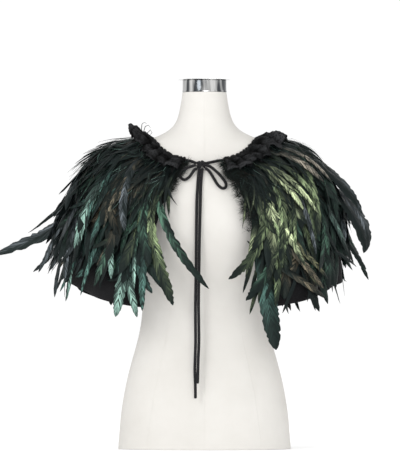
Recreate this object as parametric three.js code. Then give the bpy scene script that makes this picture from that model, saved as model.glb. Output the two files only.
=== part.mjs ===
// A feather cape worn by a limbless dress form.
// The cape is black cloth, cut as two fronts and a back, with a gathered ruffle collar on a drawstring
// casing. Four tapes of rooster tail feathers are sewn round it. The drawstring is tied in a bow.
// Millimetres, +Z up. The front faces -Y and the origin is the middle of the form's flat base.
import * as THREE from "three";

// Dress form: half width and the depths in front of and behind the middle, from the base to the neck
const FORM_SECTIONS = [
  { z: 0, half: 181, front: 112, back: 122 },
  { z: 50, half: 178, front: 113, back: 125 },
  { z: 100, half: 172, front: 112, back: 122 },
  { z: 165, half: 159, front: 107, back: 108 },
  { z: 230, half: 138, front: 99, back: 90 },
  { z: 290, half: 128, front: 95, back: 82 },
  { z: 345, half: 134, front: 101, back: 88 },
  { z: 405, half: 147, front: 112, back: 99 },
  { z: 470, half: 159, front: 118, back: 109 },
  { z: 530, half: 166, front: 112, back: 113 },
  { z: 575, half: 176, front: 98, back: 108 },
  { z: 603, half: 186, front: 84, back: 98 },
  { z: 620, half: 186, front: 75, back: 89 },
  { z: 632, half: 169, front: 69, back: 81 },
  { z: 642, half: 135, front: 65, back: 75 },
  { z: 651, half: 106, front: 61, back: 69 },
  { z: 662, half: 81, front: 57, back: 62 },
  { z: 676, half: 63, front: 53, back: 56 },
  { z: 700, half: 53, front: 49, back: 50 },
  { z: 746, half: 46, front: 46, back: 46 },
];
const FORM_ROUNDNESS = 2.15; // power of the sections, where 2 is an ellipse
const FORM_COLUMNS = 40;
const BUST = { rise: 27, apart: 82, spread: 52, height: 468, tall: 62 };
const NECK_CAP = { radius: 46.5, height: 27, edge: 3 };

// Cape cloth: one row for each ring, from the neck seam at 0 to the hem at 1 and, for the feathers that
// hang past it, beyond. half, front and back are sizes from the middle, edge is half of the front gap.
// rise says how sharply a ring climbs to the shoulder: the higher, the flatter it lies across the front.
const CAPE_RINGS = [
  { along: -0.05, half: 112, front: 78, back: 87, sideZ: 653, frontZ: 602, backZ: 629, edge: 38, rise: 3.5 },
  { along: 0, half: 124, front: 86, back: 96, sideZ: 648.5, frontZ: 591, backZ: 619, edge: 40, rise: 3.2 },
  { along: 0.11, half: 155, front: 103, back: 115, sideZ: 641, frontZ: 568, backZ: 595, edge: 52, rise: 2.8 },
  { along: 0.22, half: 190, front: 121, back: 131, sideZ: 629, frontZ: 544, backZ: 567, edge: 68, rise: 2.91 },
  { along: 0.33, half: 223, front: 138, back: 147, sideZ: 603, frontZ: 515, backZ: 535, edge: 82, rise: 3.06 },
  { along: 0.44, half: 248, front: 152, back: 161, sideZ: 565, frontZ: 482, backZ: 500, edge: 94, rise: 3.22 },
  { along: 0.56, half: 265, front: 162, back: 172, sideZ: 519, frontZ: 444, backZ: 460, edge: 105, rise: 3.38 },
  { along: 0.68, half: 276, front: 169, back: 182, sideZ: 472, frontZ: 406, backZ: 418, edge: 116, rise: 3.55 },
  { along: 0.8, half: 281, front: 174, back: 191, sideZ: 424, frontZ: 367, backZ: 375, edge: 126, rise: 3.72 },
  { along: 0.9, half: 283, front: 178, back: 197, sideZ: 388, frontZ: 331, backZ: 335, edge: 134, rise: 3.86 },
  { along: 1, half: 283, front: 180, back: 202, sideZ: 352, frontZ: 295, backZ: 293, edge: 140, rise: 4 },
  { along: 1.25, half: 280, front: 182, back: 208, sideZ: 262, frontZ: 205, backZ: 203, edge: 146, rise: 4 },
  { along: 1.5, half: 274, front: 180, back: 210, sideZ: 172, frontZ: 115, backZ: 113, edge: 150, rise: 4 },
];
const CLOTH_THICK = 1.8;
const CLOTH_GAP = 2; // between the cloth's corners and the form
const SEAM_GAP = 0.3;
const SHOULDER_SEAM = THREE.MathUtils.degToRad(95);
const FLUTES = { count: 9, depth: 5 };
const CLOTH_ROWS = [0, 0.05, 0.1, 0.15, 0.2, 0.26, 0.33, 0.42, 0.53, 0.65, 0.77, 0.89, 1];
const CLOTH_COLUMNS = { front: 11, back: 22 };

// Collar: a casing for the drawstring at the neck seam, and the ruffle that falls from it
const CASING = { top: -0.045, bottom: -0.003, thick: 5, columns: 46 };
const RUFFLE = {
  waves: 33, fall: 46, frontFall: 30, stand: 7, wave: 6, flipLeft: 13, flipRight: 6, thick: 1.2, rows: 4,
};

// Feather tapes, from the hem up: where each lies, its gap to the cloth, which is wider where the cloth
// rounds the shoulder, how many feathers it holds and their usual size
const TAPE = { tall: 9, thick: 1.6, root: 5 };
const FEATHER_ROWS = [
  { name: "feathers_hem", along: 0.6, gap: 1.1, count: 38, reach: 168, width: 20, spread: 24 },
  { name: "feathers_lower", along: 0.41, gap: 1.1, count: 38, reach: 188, width: 20, spread: 24 },
  { name: "feathers_upper", along: 0.22, gap: 1.1, count: 36, reach: 185, width: 19, spread: 24 },
  { name: "feathers_collar", along: 0.055, gap: 2, count: 34, reach: 160, width: 17, spread: 18 },
];
const FEATHER_THICK = 1.3;
const FEATHER_SLOPE = 0.15; // how fast a feather leaves the cloth, so that each row lies over the next
// The outline of a feather from root to tip: shares of its length and of its full width
const FEATHER_OUTLINE = [
  { share: 0.28, width: 0.82 },
  { share: 0.58, width: 1 },
  { share: 0.84, width: 0.78 },
  { share: 1, width: 0.16 },
];

// Feathers that leave the others: the row, the angle of the root in degrees from the front, the size,
// the way to the side and outwards at the tip, the share of the length where that begins, and the turn
// of the feather's flat side, in degrees, at the tip
const STRAY_FEATHERS = [
  { row: "feathers_lower", angle: -86, reach: 182, width: 22, sway: 0, lift: 124, free: 0.5, turn: -70 },
  { row: "feathers_upper", angle: -80, reach: 200, width: 7, sway: 6, lift: 72, free: 0.55, turn: -30 },
  { row: "feathers_upper", angle: -95, reach: 182, width: 7, sway: -4, lift: 52, free: 0.55, turn: -30 },
  { row: "feathers_hem", angle: -88, reach: 135, width: 16, sway: 0, lift: 46, free: 0.4, turn: -65 },
  { row: "feathers_upper", angle: -27, reach: 228, width: 17, sway: 128, lift: -4, free: 0.05, turn: 0 },
  { row: "feathers_lower", angle: -28, reach: 196, width: 27, sway: 78, lift: 0, free: 0.15, turn: 0 },
  { row: "feathers_hem", angle: -30, reach: 112, width: 19, sway: 40, lift: 2, free: 0.15, turn: 0 },
  { row: "feathers_lower", angle: 28, reach: 148, width: 18, sway: -76, lift: 4, free: 0.1, turn: 0 },
  { row: "feathers_hem", angle: 30, reach: 126, width: 18, sway: -60, lift: 4, free: 0.1, turn: 0 },
  { row: "feathers_hem", angle: 38, reach: 230, width: 35, sway: -48, lift: 4, free: 0.2, turn: 0 },
  { row: "feathers_lower", angle: 86, reach: 178, width: 24, sway: 0, lift: 38, free: 0.45, turn: 65 },
  { row: "feathers_upper", angle: 80, reach: 160, width: 12, sway: 0, lift: 50, free: 0.5, turn: 50 },
  { row: "feathers_upper", angle: 90, reach: 176, width: 12, sway: 4, lift: 46, free: 0.5, turn: 50 },
  { row: "feathers_hem", angle: 80, reach: 128, width: 12, sway: 4, lift: 34, free: 0.4, turn: 50 },
];

// Drawstring: a soft round cord, with the points of each stretch from its start at the bow's knot
const CORD_RADIUS = 2.75;
const KNOT = { x: -7, y: -98, z: 593, wide: 21, deep: 12, tall: 15 };
const CORD_ROUTES = {
  tail_long: [
    [-10.5, -99, 585.5], [-12.5, -104, 572], [-14.5, -113, 545], [-16, -122.5, 515], [-16.5, -127.5, 485],
    [-16.8, -129.5, 460], [-17.2, -130, 425], [-17.6, -130, 385], [-18.2, -130, 345], [-18.8, -130, 305],
    [-18.8, -130, 265], [-18.6, -130, 225], [-19.6, -130, 190], [-20.2, -130, 165], [-19.2, -130, 135],
    [-18.8, -130, 107],
  ],
  tail_short: [
    [-4.2, -99, 585.1], [-6, -104, 572], [-7.8, -113, 545], [-8.6, -121.5, 515], [-9.4, -126.5, 485],
    [-10, -129, 460], [-10.8, -130, 425], [-11.3, -130.4, 385], [-11.9, -130.4, 345], [-12.4, -130.4, 305],
    [-12, -130.4, 265], [-11.6, -130.6, 225], [-13, -131, 190], [-13.7, -132, 165], [-14.4, -134, 138],
  ],
  loop_left: [
    [-17.5, -101, 592], [-29, -102, 588], [-42, -103, 582.5], [-49.5, -104, 575], [-51, -105.5, 568],
    [-42.5, -108, 561], [-33, -107.5, 565.5], [-27, -106, 573], [-21, -103, 581.5], [-14.8, -101, 584.8],
  ],
  loop_right: [
    [2.6, -101.6, 592], [13, -106, 587.5], [24, -108.5, 578.5], [35, -110, 567], [44, -111.5, 554],
    [43.5, -113.5, 545], [36, -114, 543.5], [27, -113, 551], [19, -110, 564], [11, -106.5, 577],
    [1.4, -102.2, 585.8],
  ],
  span_left: [[-17.2, -96.8, 595.5], [-24, -95.4, 598.2], [-31.5, -92, 600.6], [-38.9, -88.6, 602.2]],
  span_right: [[3.4, -96.8, 595.5], [14, -96.4, 597.6], [27, -93.6, 600.4], [38.9, -88.6, 602.2]],
};
const CORD_STEP = 14; // length of cord between two rings of its tube

const degrees = (angle) => THREE.MathUtils.degToRad(angle);
const clamp = THREE.MathUtils.clamp;
const lerp = THREE.MathUtils.lerp;

// A fixed number from -1 to 1 for each pair of whole numbers, for the differences between feathers.
function scatter(index, kind) {
  const mixed = Math.sin(index * 12.9898 + kind * 78.233) * 43758.5453;
  return 2 * (mixed - Math.floor(mixed)) - 1;
}

// Reads a table of rows at any value of its key column, on smooth curves through the rows.
function smoothTable(rows, key) {
  const columns = Object.keys(rows[0]).filter((column) => column !== key);
  const slopeAt = (i, column) => {
    const before = rows[Math.max(i - 1, 0)];
    const after = rows[Math.min(i + 1, rows.length - 1)];
    return (after[column] - before[column]) / (after[key] - before[key]);
  };
  return (value) => {
    const last = rows.length - 2;
    const found = rows.findIndex((row) => row[key] > value) - 1;
    const i = found < -1 ? last : clamp(found, 0, last);
    const span = rows[i + 1][key] - rows[i][key];
    const t = clamp((value - rows[i][key]) / span, 0, 1);
    const read = {};
    for (const column of columns) {
      const [from, to] = [rows[i][column], rows[i + 1][column]];
      const [startSlope, endSlope] = [slopeAt(i, column) * span, slopeAt(i + 1, column) * span];
      const bend = startSlope + endSlope - 2 * (to - from);
      const turn = to - from - startSlope - bend;
      read[column] = from + t * (startSlope + t * (turn + t * bend));
    }
    return read;
  };
}
const formSection = smoothTable(FORM_SECTIONS, "z");
const capeRing = smoothTable(CAPE_RINGS, "along");

// The front depth that the bust adds at a width and a height
function bustRise(x, z) {
  const beside = (Math.abs(x) - BUST.apart) / BUST.spread;
  const above = (z - BUST.height) / BUST.tall;
  return BUST.rise * Math.exp(-beside * beside - above * above);
}

// A point on the form's surface, at an angle from the front
function formPoint(angle, z) {
  const section = formSection(z);
  const power = 2 / FORM_ROUNDNESS;
  const across = Math.sign(Math.sin(angle)) * Math.abs(Math.sin(angle)) ** power;
  const ahead = Math.sign(Math.cos(angle)) * Math.abs(Math.cos(angle)) ** power;
  const x = section.half * across;
  const depth = ahead > 0 ? section.front + bustRise(x, z) : section.back;
  return new THREE.Vector3(x, -depth * ahead, z);
}

// 0 on the form's surface, less inside and more outside
function outsideForm(p) {
  const section = formSection(p.z);
  const depth = p.y < 0 ? section.front + bustRise(p.x, p.z) : section.back;
  const across = Math.abs(p.x) / section.half;
  const ahead = Math.abs(p.y) / depth;
  return (across ** FORM_ROUNDNESS + ahead ** FORM_ROUNDNESS) ** (1 / FORM_ROUNDNESS) - 1;
}

// Moves a point straight out of the form until it is a gap away from it.
function clearOfForm(p, gap) {
  const probe = 0.5;
  for (let turn = 0; turn < 12; turn += 1) {
    const here = outsideForm(p);
    const slope = new THREE.Vector3(
      outsideForm(new THREE.Vector3(p.x + probe, p.y, p.z)) - here,
      outsideForm(new THREE.Vector3(p.x, p.y + probe, p.z)) - here,
      outsideForm(new THREE.Vector3(p.x, p.y, p.z + probe)) - here,
    ).divideScalar(probe);
    const away = here / slope.length();
    if (away >= gap - 0.02) break;
    p.addScaledVector(slope.normalize(), gap - away);
  }
  return p;
}

// A point on the inside of the cape's cloth, at an angle from the front and a share of the way down
function capePoint(angle, along) {
  const ring = capeRing(along);
  const across = Math.sin(angle);
  const ahead = Math.cos(angle);
  const depth = ahead > 0 ? ring.front : ring.back;
  const low = ahead > 0 ? ring.frontZ : ring.backZ;
  const rise = Math.abs(across) ** ring.rise;
  const flute = FLUTES.depth * clamp(along, 0, 1) ** 2 * Math.cos(FLUTES.count * angle);
  const p = new THREE.Vector3(
    (ring.half + flute) * across,
    -(depth + flute) * ahead,
    lerp(low, ring.sideZ, rise),
  );
  return clearOfForm(p, CLOTH_GAP);
}

// The directions round, down and out of the cloth at a place on it, with the size of a step each way
function capeFrame(angle, along) {
  const [turn, drop] = [0.02, 0.01];
  const round = capePoint(angle + turn, along).sub(capePoint(angle - turn, along));
  const down = capePoint(angle, along + drop).sub(capePoint(angle, along - drop));
  const frame = {
    perAngle: round.length() / (2 * turn),
    perAlong: down.length() / (2 * drop),
    round: round.normalize(),
    down: down.normalize(),
  };
  frame.out = new THREE.Vector3().crossVectors(frame.down, frame.round).normalize();
  return frame;
}

// A point that stands off the cloth's inside
function overCape(angle, along, away) {
  return capePoint(angle, along).addScaledVector(capeFrame(angle, along).out, away);
}

// The angle of the front edge, with the front gap's half width at that place
function edgeAngle(along) {
  const ring = capeRing(along);
  return Math.asin(ring.edge / ring.half);
}

function meshOf(name, points, triangles, material) {
  const geometry = new THREE.BufferGeometry();
  geometry.setAttribute(
    "position",
    new THREE.Float32BufferAttribute(points.flatMap((p) => [p.x, p.y, p.z]), 3),
  );
  geometry.setIndex(triangles);
  geometry.computeVertexNormals();
  const mesh = new THREE.Mesh(geometry, material);
  mesh.name = name;
  return mesh;
}

// A closed wall between two grids of points of the same size, the first on its outer side
function wall(name, outer, inner, material) {
  const rows = outer.length;
  const columns = outer[0].length;
  const points = [...outer.flat(), ...inner.flat()];
  const layer = rows * columns;
  const at = (side, r, c) => side * layer + r * columns + c;
  const triangles = [];
  const face = (a, b, c, d) => triangles.push(a, b, c, a, c, d);
  for (let r = 0; r < rows - 1; r += 1) {
    for (let c = 0; c < columns - 1; c += 1) {
      face(at(0, r, c), at(0, r + 1, c), at(0, r + 1, c + 1), at(0, r, c + 1));
      face(at(1, r, c), at(1, r, c + 1), at(1, r + 1, c + 1), at(1, r + 1, c));
    }
    face(at(1, r, 0), at(1, r + 1, 0), at(0, r + 1, 0), at(0, r, 0));
    face(at(0, r, columns - 1), at(0, r + 1, columns - 1), at(1, r + 1, columns - 1), at(1, r, columns - 1));
  }
  for (let c = 0; c < columns - 1; c += 1) {
    face(at(1, 0, c), at(0, 0, c), at(0, 0, c + 1), at(1, 0, c + 1));
    face(at(0, rows - 1, c), at(1, rows - 1, c), at(1, rows - 1, c + 1), at(0, rows - 1, c + 1));
  }
  return meshOf(name, points, triangles, material);
}

// A closed solid through rings of points that run the same way round, with a flat lid on each end
function loft(name, rings, material) {
  const sides = rings[0].length;
  const points = rings.flat();
  const triangles = [];
  for (let r = 0; r < rings.length - 1; r += 1) {
    for (let c = 0; c < sides; c += 1) {
      const next = (c + 1) % sides;
      const [a, b] = [r * sides + c, r * sides + next];
      triangles.push(a, b, b + sides, a, b + sides, a + sides);
    }
  }
  for (const [r, turned] of [[0, true], [rings.length - 1, false]]) {
    const middle = new THREE.Vector3();
    rings[r].forEach((p) => middle.addScaledVector(p, 1 / sides));
    points.push(middle);
    for (let c = 0; c < sides; c += 1) {
      const [a, b] = [r * sides + c, r * sides + ((c + 1) % sides)];
      triangles.push(...(turned ? [b, a, points.length - 1] : [a, b, points.length - 1]));
    }
  }
  return meshOf(name, points, triangles, material);
}

const steps = (count) => Array.from({ length: count + 1 }, (_, i) => i / count);

// Materials
const finish = (color, roughness, metalness = 0) =>
  new THREE.MeshStandardMaterial({ color, roughness, metalness });
const LINEN = finish(0xe9e4d8, 0.85);
const CHROME = finish(0xb9bcc0, 0.15, 1);
const BLACK_CLOTH = finish(0x15171a, 0.9);
const FEATHER_GREEN = finish(0x1c2b25, 0.45);
const CORD_BLACK = finish(0x17171a, 0.85);

// The dress form, from its flat base to the top of the neck
function dressForm() {
  const between = FORM_SECTIONS.map((section) => section.z);
  const rings = between.map((z) =>
    Array.from({ length: FORM_COLUMNS }, (_, c) => formPoint((2 * Math.PI * c) / FORM_COLUMNS, z)),
  );
  return loft("dress_form", rings, LINEN);
}

// The metal cap on the neck, a short drum with a rounded rim
function neckCap() {
  const { radius, height, edge } = NECK_CAP;
  const profile = [
    [0, 0],
    [radius - 1, 0],
    [radius, 1],
    [radius, height - edge],
    [radius - edge * 0.3, height - edge * 0.3],
    [radius - edge, height],
    [0, height],
  ].map(([r, z]) => new THREE.Vector2(r, z));
  const cap = new THREE.Mesh(new THREE.LatheGeometry(profile, 36), CHROME);
  cap.name = "neck_cap";
  cap.rotation.x = Math.PI / 2;
  cap.position.z = FORM_SECTIONS.at(-1).z + SEAM_GAP;
  return cap;
}

// One piece of the cape's cloth. The angles are given as functions of the way down.
function clothPanel(name, fromAngle, toAngle, columns) {
  const grid = (away) =>
    CLOTH_ROWS.map((along) =>
      steps(columns).map((share) =>
        overCape(lerp(fromAngle(along), toAngle(along), share), along, away),
      ),
    );
  return wall(name, grid(CLOTH_THICK), grid(0), BLACK_CLOTH);
}

function cape() {
  const seamTurn = (along) => SEAM_GAP / 2 / capeFrame(SHOULDER_SEAM, along).perAngle;
  const frontSeam = (along) => SHOULDER_SEAM - seamTurn(along);
  const backSeam = (along) => SHOULDER_SEAM + seamTurn(along);
  const full = 2 * Math.PI;
  return [
    clothPanel("cape_front_right", edgeAngle, frontSeam, CLOTH_COLUMNS.front),
    clothPanel("cape_back", backSeam, (along) => full - backSeam(along), CLOTH_COLUMNS.back),
    clothPanel(
      "cape_front_left",
      (along) => full - frontSeam(along),
      (along) => full - edgeAngle(along),
      CLOTH_COLUMNS.front,
    ),
  ];
}

// The drawstring casing: a soft band along the neck seam, thicker in its middle
function collarCasing() {
  const { top, bottom, thick, columns } = CASING;
  const middle = (top + bottom) / 2;
  const start = edgeAngle(middle);
  const section = [
    [top, 0.15],
    [lerp(top, bottom, 0.2), 0.75],
    [middle, 1],
    [lerp(top, bottom, 0.8), 0.75],
    [bottom, 0.15],
    [middle, 0],
  ];
  const rings = steps(columns).map((share) => {
    const angle = lerp(start, 2 * Math.PI - start, share);
    return section.map(([along, out]) => overCape(angle, along, out * thick));
  });
  return loft("collar_casing", rings, BLACK_CLOTH);
}

// How far the ruffle is turned up: most on top of the shoulders, and little at the front and back
function turnedUp(angle) {
  const flip = Math.sin(angle) < 0 ? RUFFLE.flipLeft : RUFFLE.flipRight;
  return flip * Math.abs(Math.sin(angle)) ** 6;
}

// The gathered ruffle: it leaves the casing, stands up over the feathers' roots and falls in waves.
function collarRuffle() {
  const { waves, stand, wave, thick, rows } = RUFFLE;
  const columns = waves * 4;
  const top = (CASING.top + CASING.bottom) / 2;
  const start = edgeAngle(0) + 0.01;
  const grid = (side) =>
    steps(rows - 1).map((down) =>
      steps(columns).map((share, c) => {
        const angle = lerp(start, 2 * Math.PI - start, share);
        const frame = capeFrame(angle, 0.02);
        const turned = turnedUp(angle);
        const fall = lerp(RUFFLE.fall, RUFFLE.frontFall, Math.max(0, Math.cos(angle)));
        const along = top + (down * (fall - turned)) / frame.perAlong;
        const swing = Math.sin((c * Math.PI) / 2) * wave * down ** 0.7;
        const height = CASING.thick + 0.6 + stand * down ** 0.6 + swing + turned * down ** 1.5;
        return overCape(angle, along, height + wave * down + side * thick);
      }),
    );
  return wall("collar_ruffle", grid(1), grid(0), BLACK_CLOTH);
}

// The middle line of a feather as it lies over the cape: a list of places from the tape to the tip
function featherLine(row, feather) {
  const places = [];
  let { angle } = feather;
  let along = row.along;
  let [walked, side] = [0, 0];
  for (const { share, width } of FEATHER_OUTLINE) {
    const walk = share * feather.reach;
    const pull = Math.max(0, (share - feather.free) / (1 - feather.free)) ** 2;
    const swayed = feather.sway * pull;
    const frame = capeFrame(angle, along);
    along += (walk - walked) / frame.perAlong;
    angle += (swayed - side) / frame.perAngle;
    [walked, side] = [walk, swayed];
    const away = row.gap + CLOTH_THICK + TAPE.thick / 2 + FEATHER_SLOPE * walk;
    places.push({
      middle: overCape(angle, along, away + feather.rest * share + feather.lift * pull),
      round: capeFrame(angle, along).round,
      half: (width * feather.width) / 2,
      turn: degrees(feather.turn) * Math.sqrt(pull),
    });
  }
  return places;
}

// Four corners across a feather at one place on its line
function featherCorners(line, i) {
  const place = line[i];
  const before = line[Math.max(i - 1, 0)].middle;
  const after = line[Math.min(i + 1, line.length - 1)].middle;
  const forward = after.clone().sub(before).normalize();
  const aside = place.round.clone().addScaledVector(forward, -place.round.dot(forward)).normalize();
  const outer = new THREE.Vector3().crossVectors(forward, aside);
  aside.applyAxisAngle(forward, place.turn);
  outer.applyAxisAngle(forward, place.turn);
  return [[-1, 1], [1, 1], [1, -1], [-1, -1]].map(([across, out]) =>
    place.middle
      .clone()
      .addScaledVector(aside, across * place.half)
      .addScaledVector(outer, (out * FEATHER_THICK) / 2),
  );
}

// The feathers of one row, each with its own size and lean
function feathersOf(row) {
  const start = edgeAngle(row.along) + 0.03;
  const seed = row.along * 1000;
  const feathers = Array.from({ length: row.count }, (_, i) => ({
    angle: lerp(start, 2 * Math.PI - start, (i + 0.5) / row.count),
    reach: row.reach + row.spread * scatter(i, seed),
    width: row.width * (1 + 0.14 * scatter(i, seed + 1)),
    sway: 5 * scatter(i, seed + 2),
    lift: 5 + 5 * scatter(i, seed + 3),
    rest: i % 2 === 0 ? 1.6 : -1.6,
    free: 0.3,
    turn: 0,
  }));
  for (const stray of STRAY_FEATHERS.filter((s) => s.row === row.name)) {
    const wanted = THREE.MathUtils.euclideanModulo(degrees(stray.angle), 2 * Math.PI);
    const apart = (feather) => Math.abs(feather.angle - wanted);
    const nearest = feathers.reduce((best, feather) => (apart(feather) < apart(best) ? feather : best));
    const { reach, width, sway, lift, free, turn } = stray;
    Object.assign(nearest, { reach, width, sway, lift, free, turn });
  }
  return feathers;
}

// One tape with its feathers. The tape is a flat band, and each feather grows out of its lower edge.
function featherRow(row) {
  const low = row.along;
  const tapeSection = (angle) => {
    const high = low - TAPE.tall / capeFrame(angle, low).perAlong;
    const [inner, outer] = [CLOTH_THICK + row.gap, CLOTH_THICK + row.gap + TAPE.thick];
    return [
      overCape(angle, high, outer),
      overCape(angle, low, outer),
      overCape(angle, low, inner),
      overCape(angle, high, inner),
    ];
  };
  const points = [];
  const triangles = [];
  const face = (a, b, c, d) => triangles.push(a, b, c, a, c, d);
  const feathers = feathersOf(row);
  const sections = feathers.flatMap((feather) => {
    const half = TAPE.root / 2 / capeFrame(feather.angle, low).perAngle;
    return [feather.angle - half, feather.angle + half];
  });
  const ends = [sections[0] - 0.03, ...sections, sections.at(-1) + 0.03];
  ends.forEach((angle) => points.push(...tapeSection(angle)));
  const last = (ends.length - 1) * 4;
  face(0, 3, 2, 1);
  face(last, last + 1, last + 2, last + 3);
  for (let c = 0; c < ends.length - 1; c += 1) {
    const [here, next] = [c * 4, c * 4 + 4];
    const holdsFeather = c % 2 === 1;
    face(here, here + 1, next + 1, next);
    face(here + 2, here + 3, next + 3, next + 2);
    face(here + 3, here, next, next + 3);
    if (!holdsFeather) {
      face(here + 1, here + 2, next + 2, next + 1);
      continue;
    }
    let ring = [here + 1, next + 1, next + 2, here + 2];
    const line = featherLine(row, feathers[(c - 1) / 2]);
    for (let i = 0; i < line.length; i += 1) {
      const first = points.length;
      points.push(...featherCorners(line, i));
      const below = [first, first + 1, first + 2, first + 3];
      ring.forEach((corner, side) => {
        const other = (side + 1) % 4;
        face(corner, below[side], below[other], ring[other]);
      });
      ring = below;
    }
    face(ring[0], ring[3], ring[2], ring[1]);
  }
  return meshOf(row.name, points, triangles, FEATHER_GREEN);
}

// A stretch of the drawstring along its points
function cordStretch(name, route) {
  const path = new THREE.CatmullRomCurve3(route.map(([x, y, z]) => new THREE.Vector3(x, y, z)));
  const section = new THREE.Shape();
  section.absarc(0, 0, CORD_RADIUS, 0, 2 * Math.PI);
  const count = Math.max(4, Math.round(path.getLength() / CORD_STEP));
  const geometry = new THREE.ExtrudeGeometry(section, {
    steps: count,
    extrudePath: path,
    curveSegments: 4,
    bevelEnabled: false,
  });
  const mesh = new THREE.Mesh(geometry, CORD_BLACK);
  mesh.name = name;
  return mesh;
}

// The knot in the middle of the bow
function bowKnot() {
  const mesh = new THREE.Mesh(new THREE.SphereGeometry(0.5, 14, 9), CORD_BLACK);
  mesh.name = "bow_knot";
  mesh.scale.set(KNOT.wide, KNOT.deep, KNOT.tall);
  mesh.position.set(KNOT.x, KNOT.y, KNOT.z);
  return mesh;
}

const model = new THREE.Group();
model.add(dressForm(), neckCap(), ...cape(), collarCasing(), collarRuffle());
model.add(...FEATHER_ROWS.map(featherRow));
model.add(bowKnot());
for (const [name, route] of Object.entries(CORD_ROUTES)) model.add(cordStretch(name, route));
export default model;
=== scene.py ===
# %% [markdown]
# # A feather cape on a dress form
# A short black cape stands open at the front over a limbless tailoring form. Rows of rooster tail
# feathers cover it, a gathered ruffle goes round its neck, and a drawstring is tied in a bow.
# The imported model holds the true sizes. Everything here is laid over it, in metres, +Z up, front at -Y.

# %% Load the fixed frame
import math

import bpy
import numpy as np
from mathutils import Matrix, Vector
from mathutils.bvhtree import BVHTree


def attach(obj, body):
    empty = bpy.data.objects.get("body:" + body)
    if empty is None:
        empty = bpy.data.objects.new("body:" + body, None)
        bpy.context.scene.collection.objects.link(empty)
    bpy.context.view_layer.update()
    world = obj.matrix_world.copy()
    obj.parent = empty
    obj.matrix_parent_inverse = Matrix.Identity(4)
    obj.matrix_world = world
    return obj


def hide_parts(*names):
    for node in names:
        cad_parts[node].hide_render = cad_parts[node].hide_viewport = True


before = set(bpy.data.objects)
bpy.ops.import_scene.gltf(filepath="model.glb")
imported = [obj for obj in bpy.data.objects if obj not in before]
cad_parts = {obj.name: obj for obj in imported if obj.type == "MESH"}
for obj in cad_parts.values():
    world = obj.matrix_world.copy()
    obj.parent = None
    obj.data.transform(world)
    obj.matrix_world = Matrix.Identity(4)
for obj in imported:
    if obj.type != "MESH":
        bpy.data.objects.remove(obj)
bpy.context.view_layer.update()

bpy.ops.object.select_all(action="DESELECT")
MM = 0.001
print("nodes in the frame:", len(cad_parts))

# %% [markdown]
# ## The camera
# The photo is a straight front view with almost no perspective: the form's base and the top of its neck
# are both nearly straight lines. So the camera stands far off with a long lens, at hip height, and a
# small shift of the lens brings the picture's middle up to the chest.

# %% Camera
PHOTO_WIDTH, PHOTO_HEIGHT = 400, 471
PIXEL = 2.095 * MM             # what one pixel of the photo covers at the middle of the form
FORM_COLUMN, BASE_ROW = 204.5, 448.6
CAMERA_DISTANCE = 12.0
CAMERA_HEIGHT = 0.30

picture_height = PHOTO_HEIGHT * PIXEL
camera_data = bpy.data.cameras.new("photo_camera")
camera_data.lens = camera_data.sensor_width * CAMERA_DISTANCE / picture_height
camera_data.shift_y = ((BASE_ROW - PHOTO_HEIGHT / 2) * PIXEL - CAMERA_HEIGHT) / picture_height
camera = bpy.data.objects.new("photo_camera", camera_data)
camera.location = ((PHOTO_WIDTH / 2 - FORM_COLUMN) * PIXEL, -CAMERA_DISTANCE, CAMERA_HEIGHT)
camera.rotation_euler = (math.radians(90), 0, 0)
bpy.context.scene.collection.objects.link(camera)
bpy.context.scene.camera = camera
print(f"lens {camera_data.lens:.0f} mm, shift {camera_data.shift_y:.3f}")

# %% [markdown]
# ## Helpers for mesh work
# Soft goods, cords and feathers are easiest as meshes worked out from formulas. These helpers turn arrays
# of points into an object, close a tube of rings with a lid on each end, and put several meshes into one.
# Each finished piece gets its material and the body that it rides on, and the node that it stands for is
# hidden.

# %% Mesh helpers
def finish_piece(piece, material, node=None):
    """Gives a piece its material and body, and hides the CAD node that it stands for."""
    piece.data.materials.clear()
    piece.data.materials.append(material)
    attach(piece, "root")
    if node:
        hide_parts(node)


def new_piece(name, points, faces, material, slot, uv=None, node=None):
    """A smooth mesh object, with one texture place for each point where uv is given."""
    mesh = bpy.data.meshes.new(name)
    mesh.from_pydata(np.asarray(points, float).tolist(), [], [list(map(int, f)) for f in faces])
    if uv is not None:
        layer = mesh.uv_layers.new(name="cut")
        corners = np.empty(len(mesh.loops), np.int32)
        mesh.loops.foreach_get("vertex_index", corners)
        layer.data.foreach_set("uv", np.asarray(uv, np.float32)[corners].ravel())
    mesh.polygons.foreach_set("use_smooth", [True] * len(mesh.polygons))
    mesh.validate()
    piece = bpy.data.objects.new(name, mesh)
    bpy.context.scene.collection.objects.link(piece)
    finish_piece(piece, material, node)
    print(name, "faces:", len(mesh.polygons))
    return piece


def add_values(piece, name, values):
    """One number for each point of a piece, which its material can read by name."""
    layer = piece.data.attributes.new(name, "FLOAT", "POINT")
    layer.data.foreach_set("value", np.asarray(values, np.float32).ravel())


def add_tint(piece, colours):
    """A colour with an alpha for each point, which a material reads as the tint of a painted sheen and how
    much of it shows.
    """
    layer = piece.data.color_attributes.new("tint", "FLOAT_COLOR", "POINT")
    layer.data.foreach_set("color", np.asarray(colours, np.float32).ravel())


def tube_faces(rings, sides):
    """Faces of a tube whose rings of points follow one another, with a lid on each end."""
    faces = []
    for here in range(0, (rings - 1) * sides, sides):
        there = here + sides
        for corner in range(sides):
            after = (corner + 1) % sides
            faces.append((here + corner, here + after, there + after, there + corner))
    faces.append(tuple(range(sides))[::-1])
    faces.append(tuple((rings - 1) * sides + corner for corner in range(sides)))
    return faces


def join_meshes(parts):
    """Points and faces of several meshes as one. Each part starts with its points and its faces."""
    faces, first = [], 0
    for part in parts:
        faces += [tuple(first + i for i in face) for face in part[1]]
        first += len(part[0])
    return np.vstack([part[0] for part in parts]), faces


def unit(vectors):
    """Vectors with their lengths made 1."""
    return vectors / np.maximum(np.linalg.norm(vectors, axis=-1, keepdims=True), 1e-12)


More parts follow.
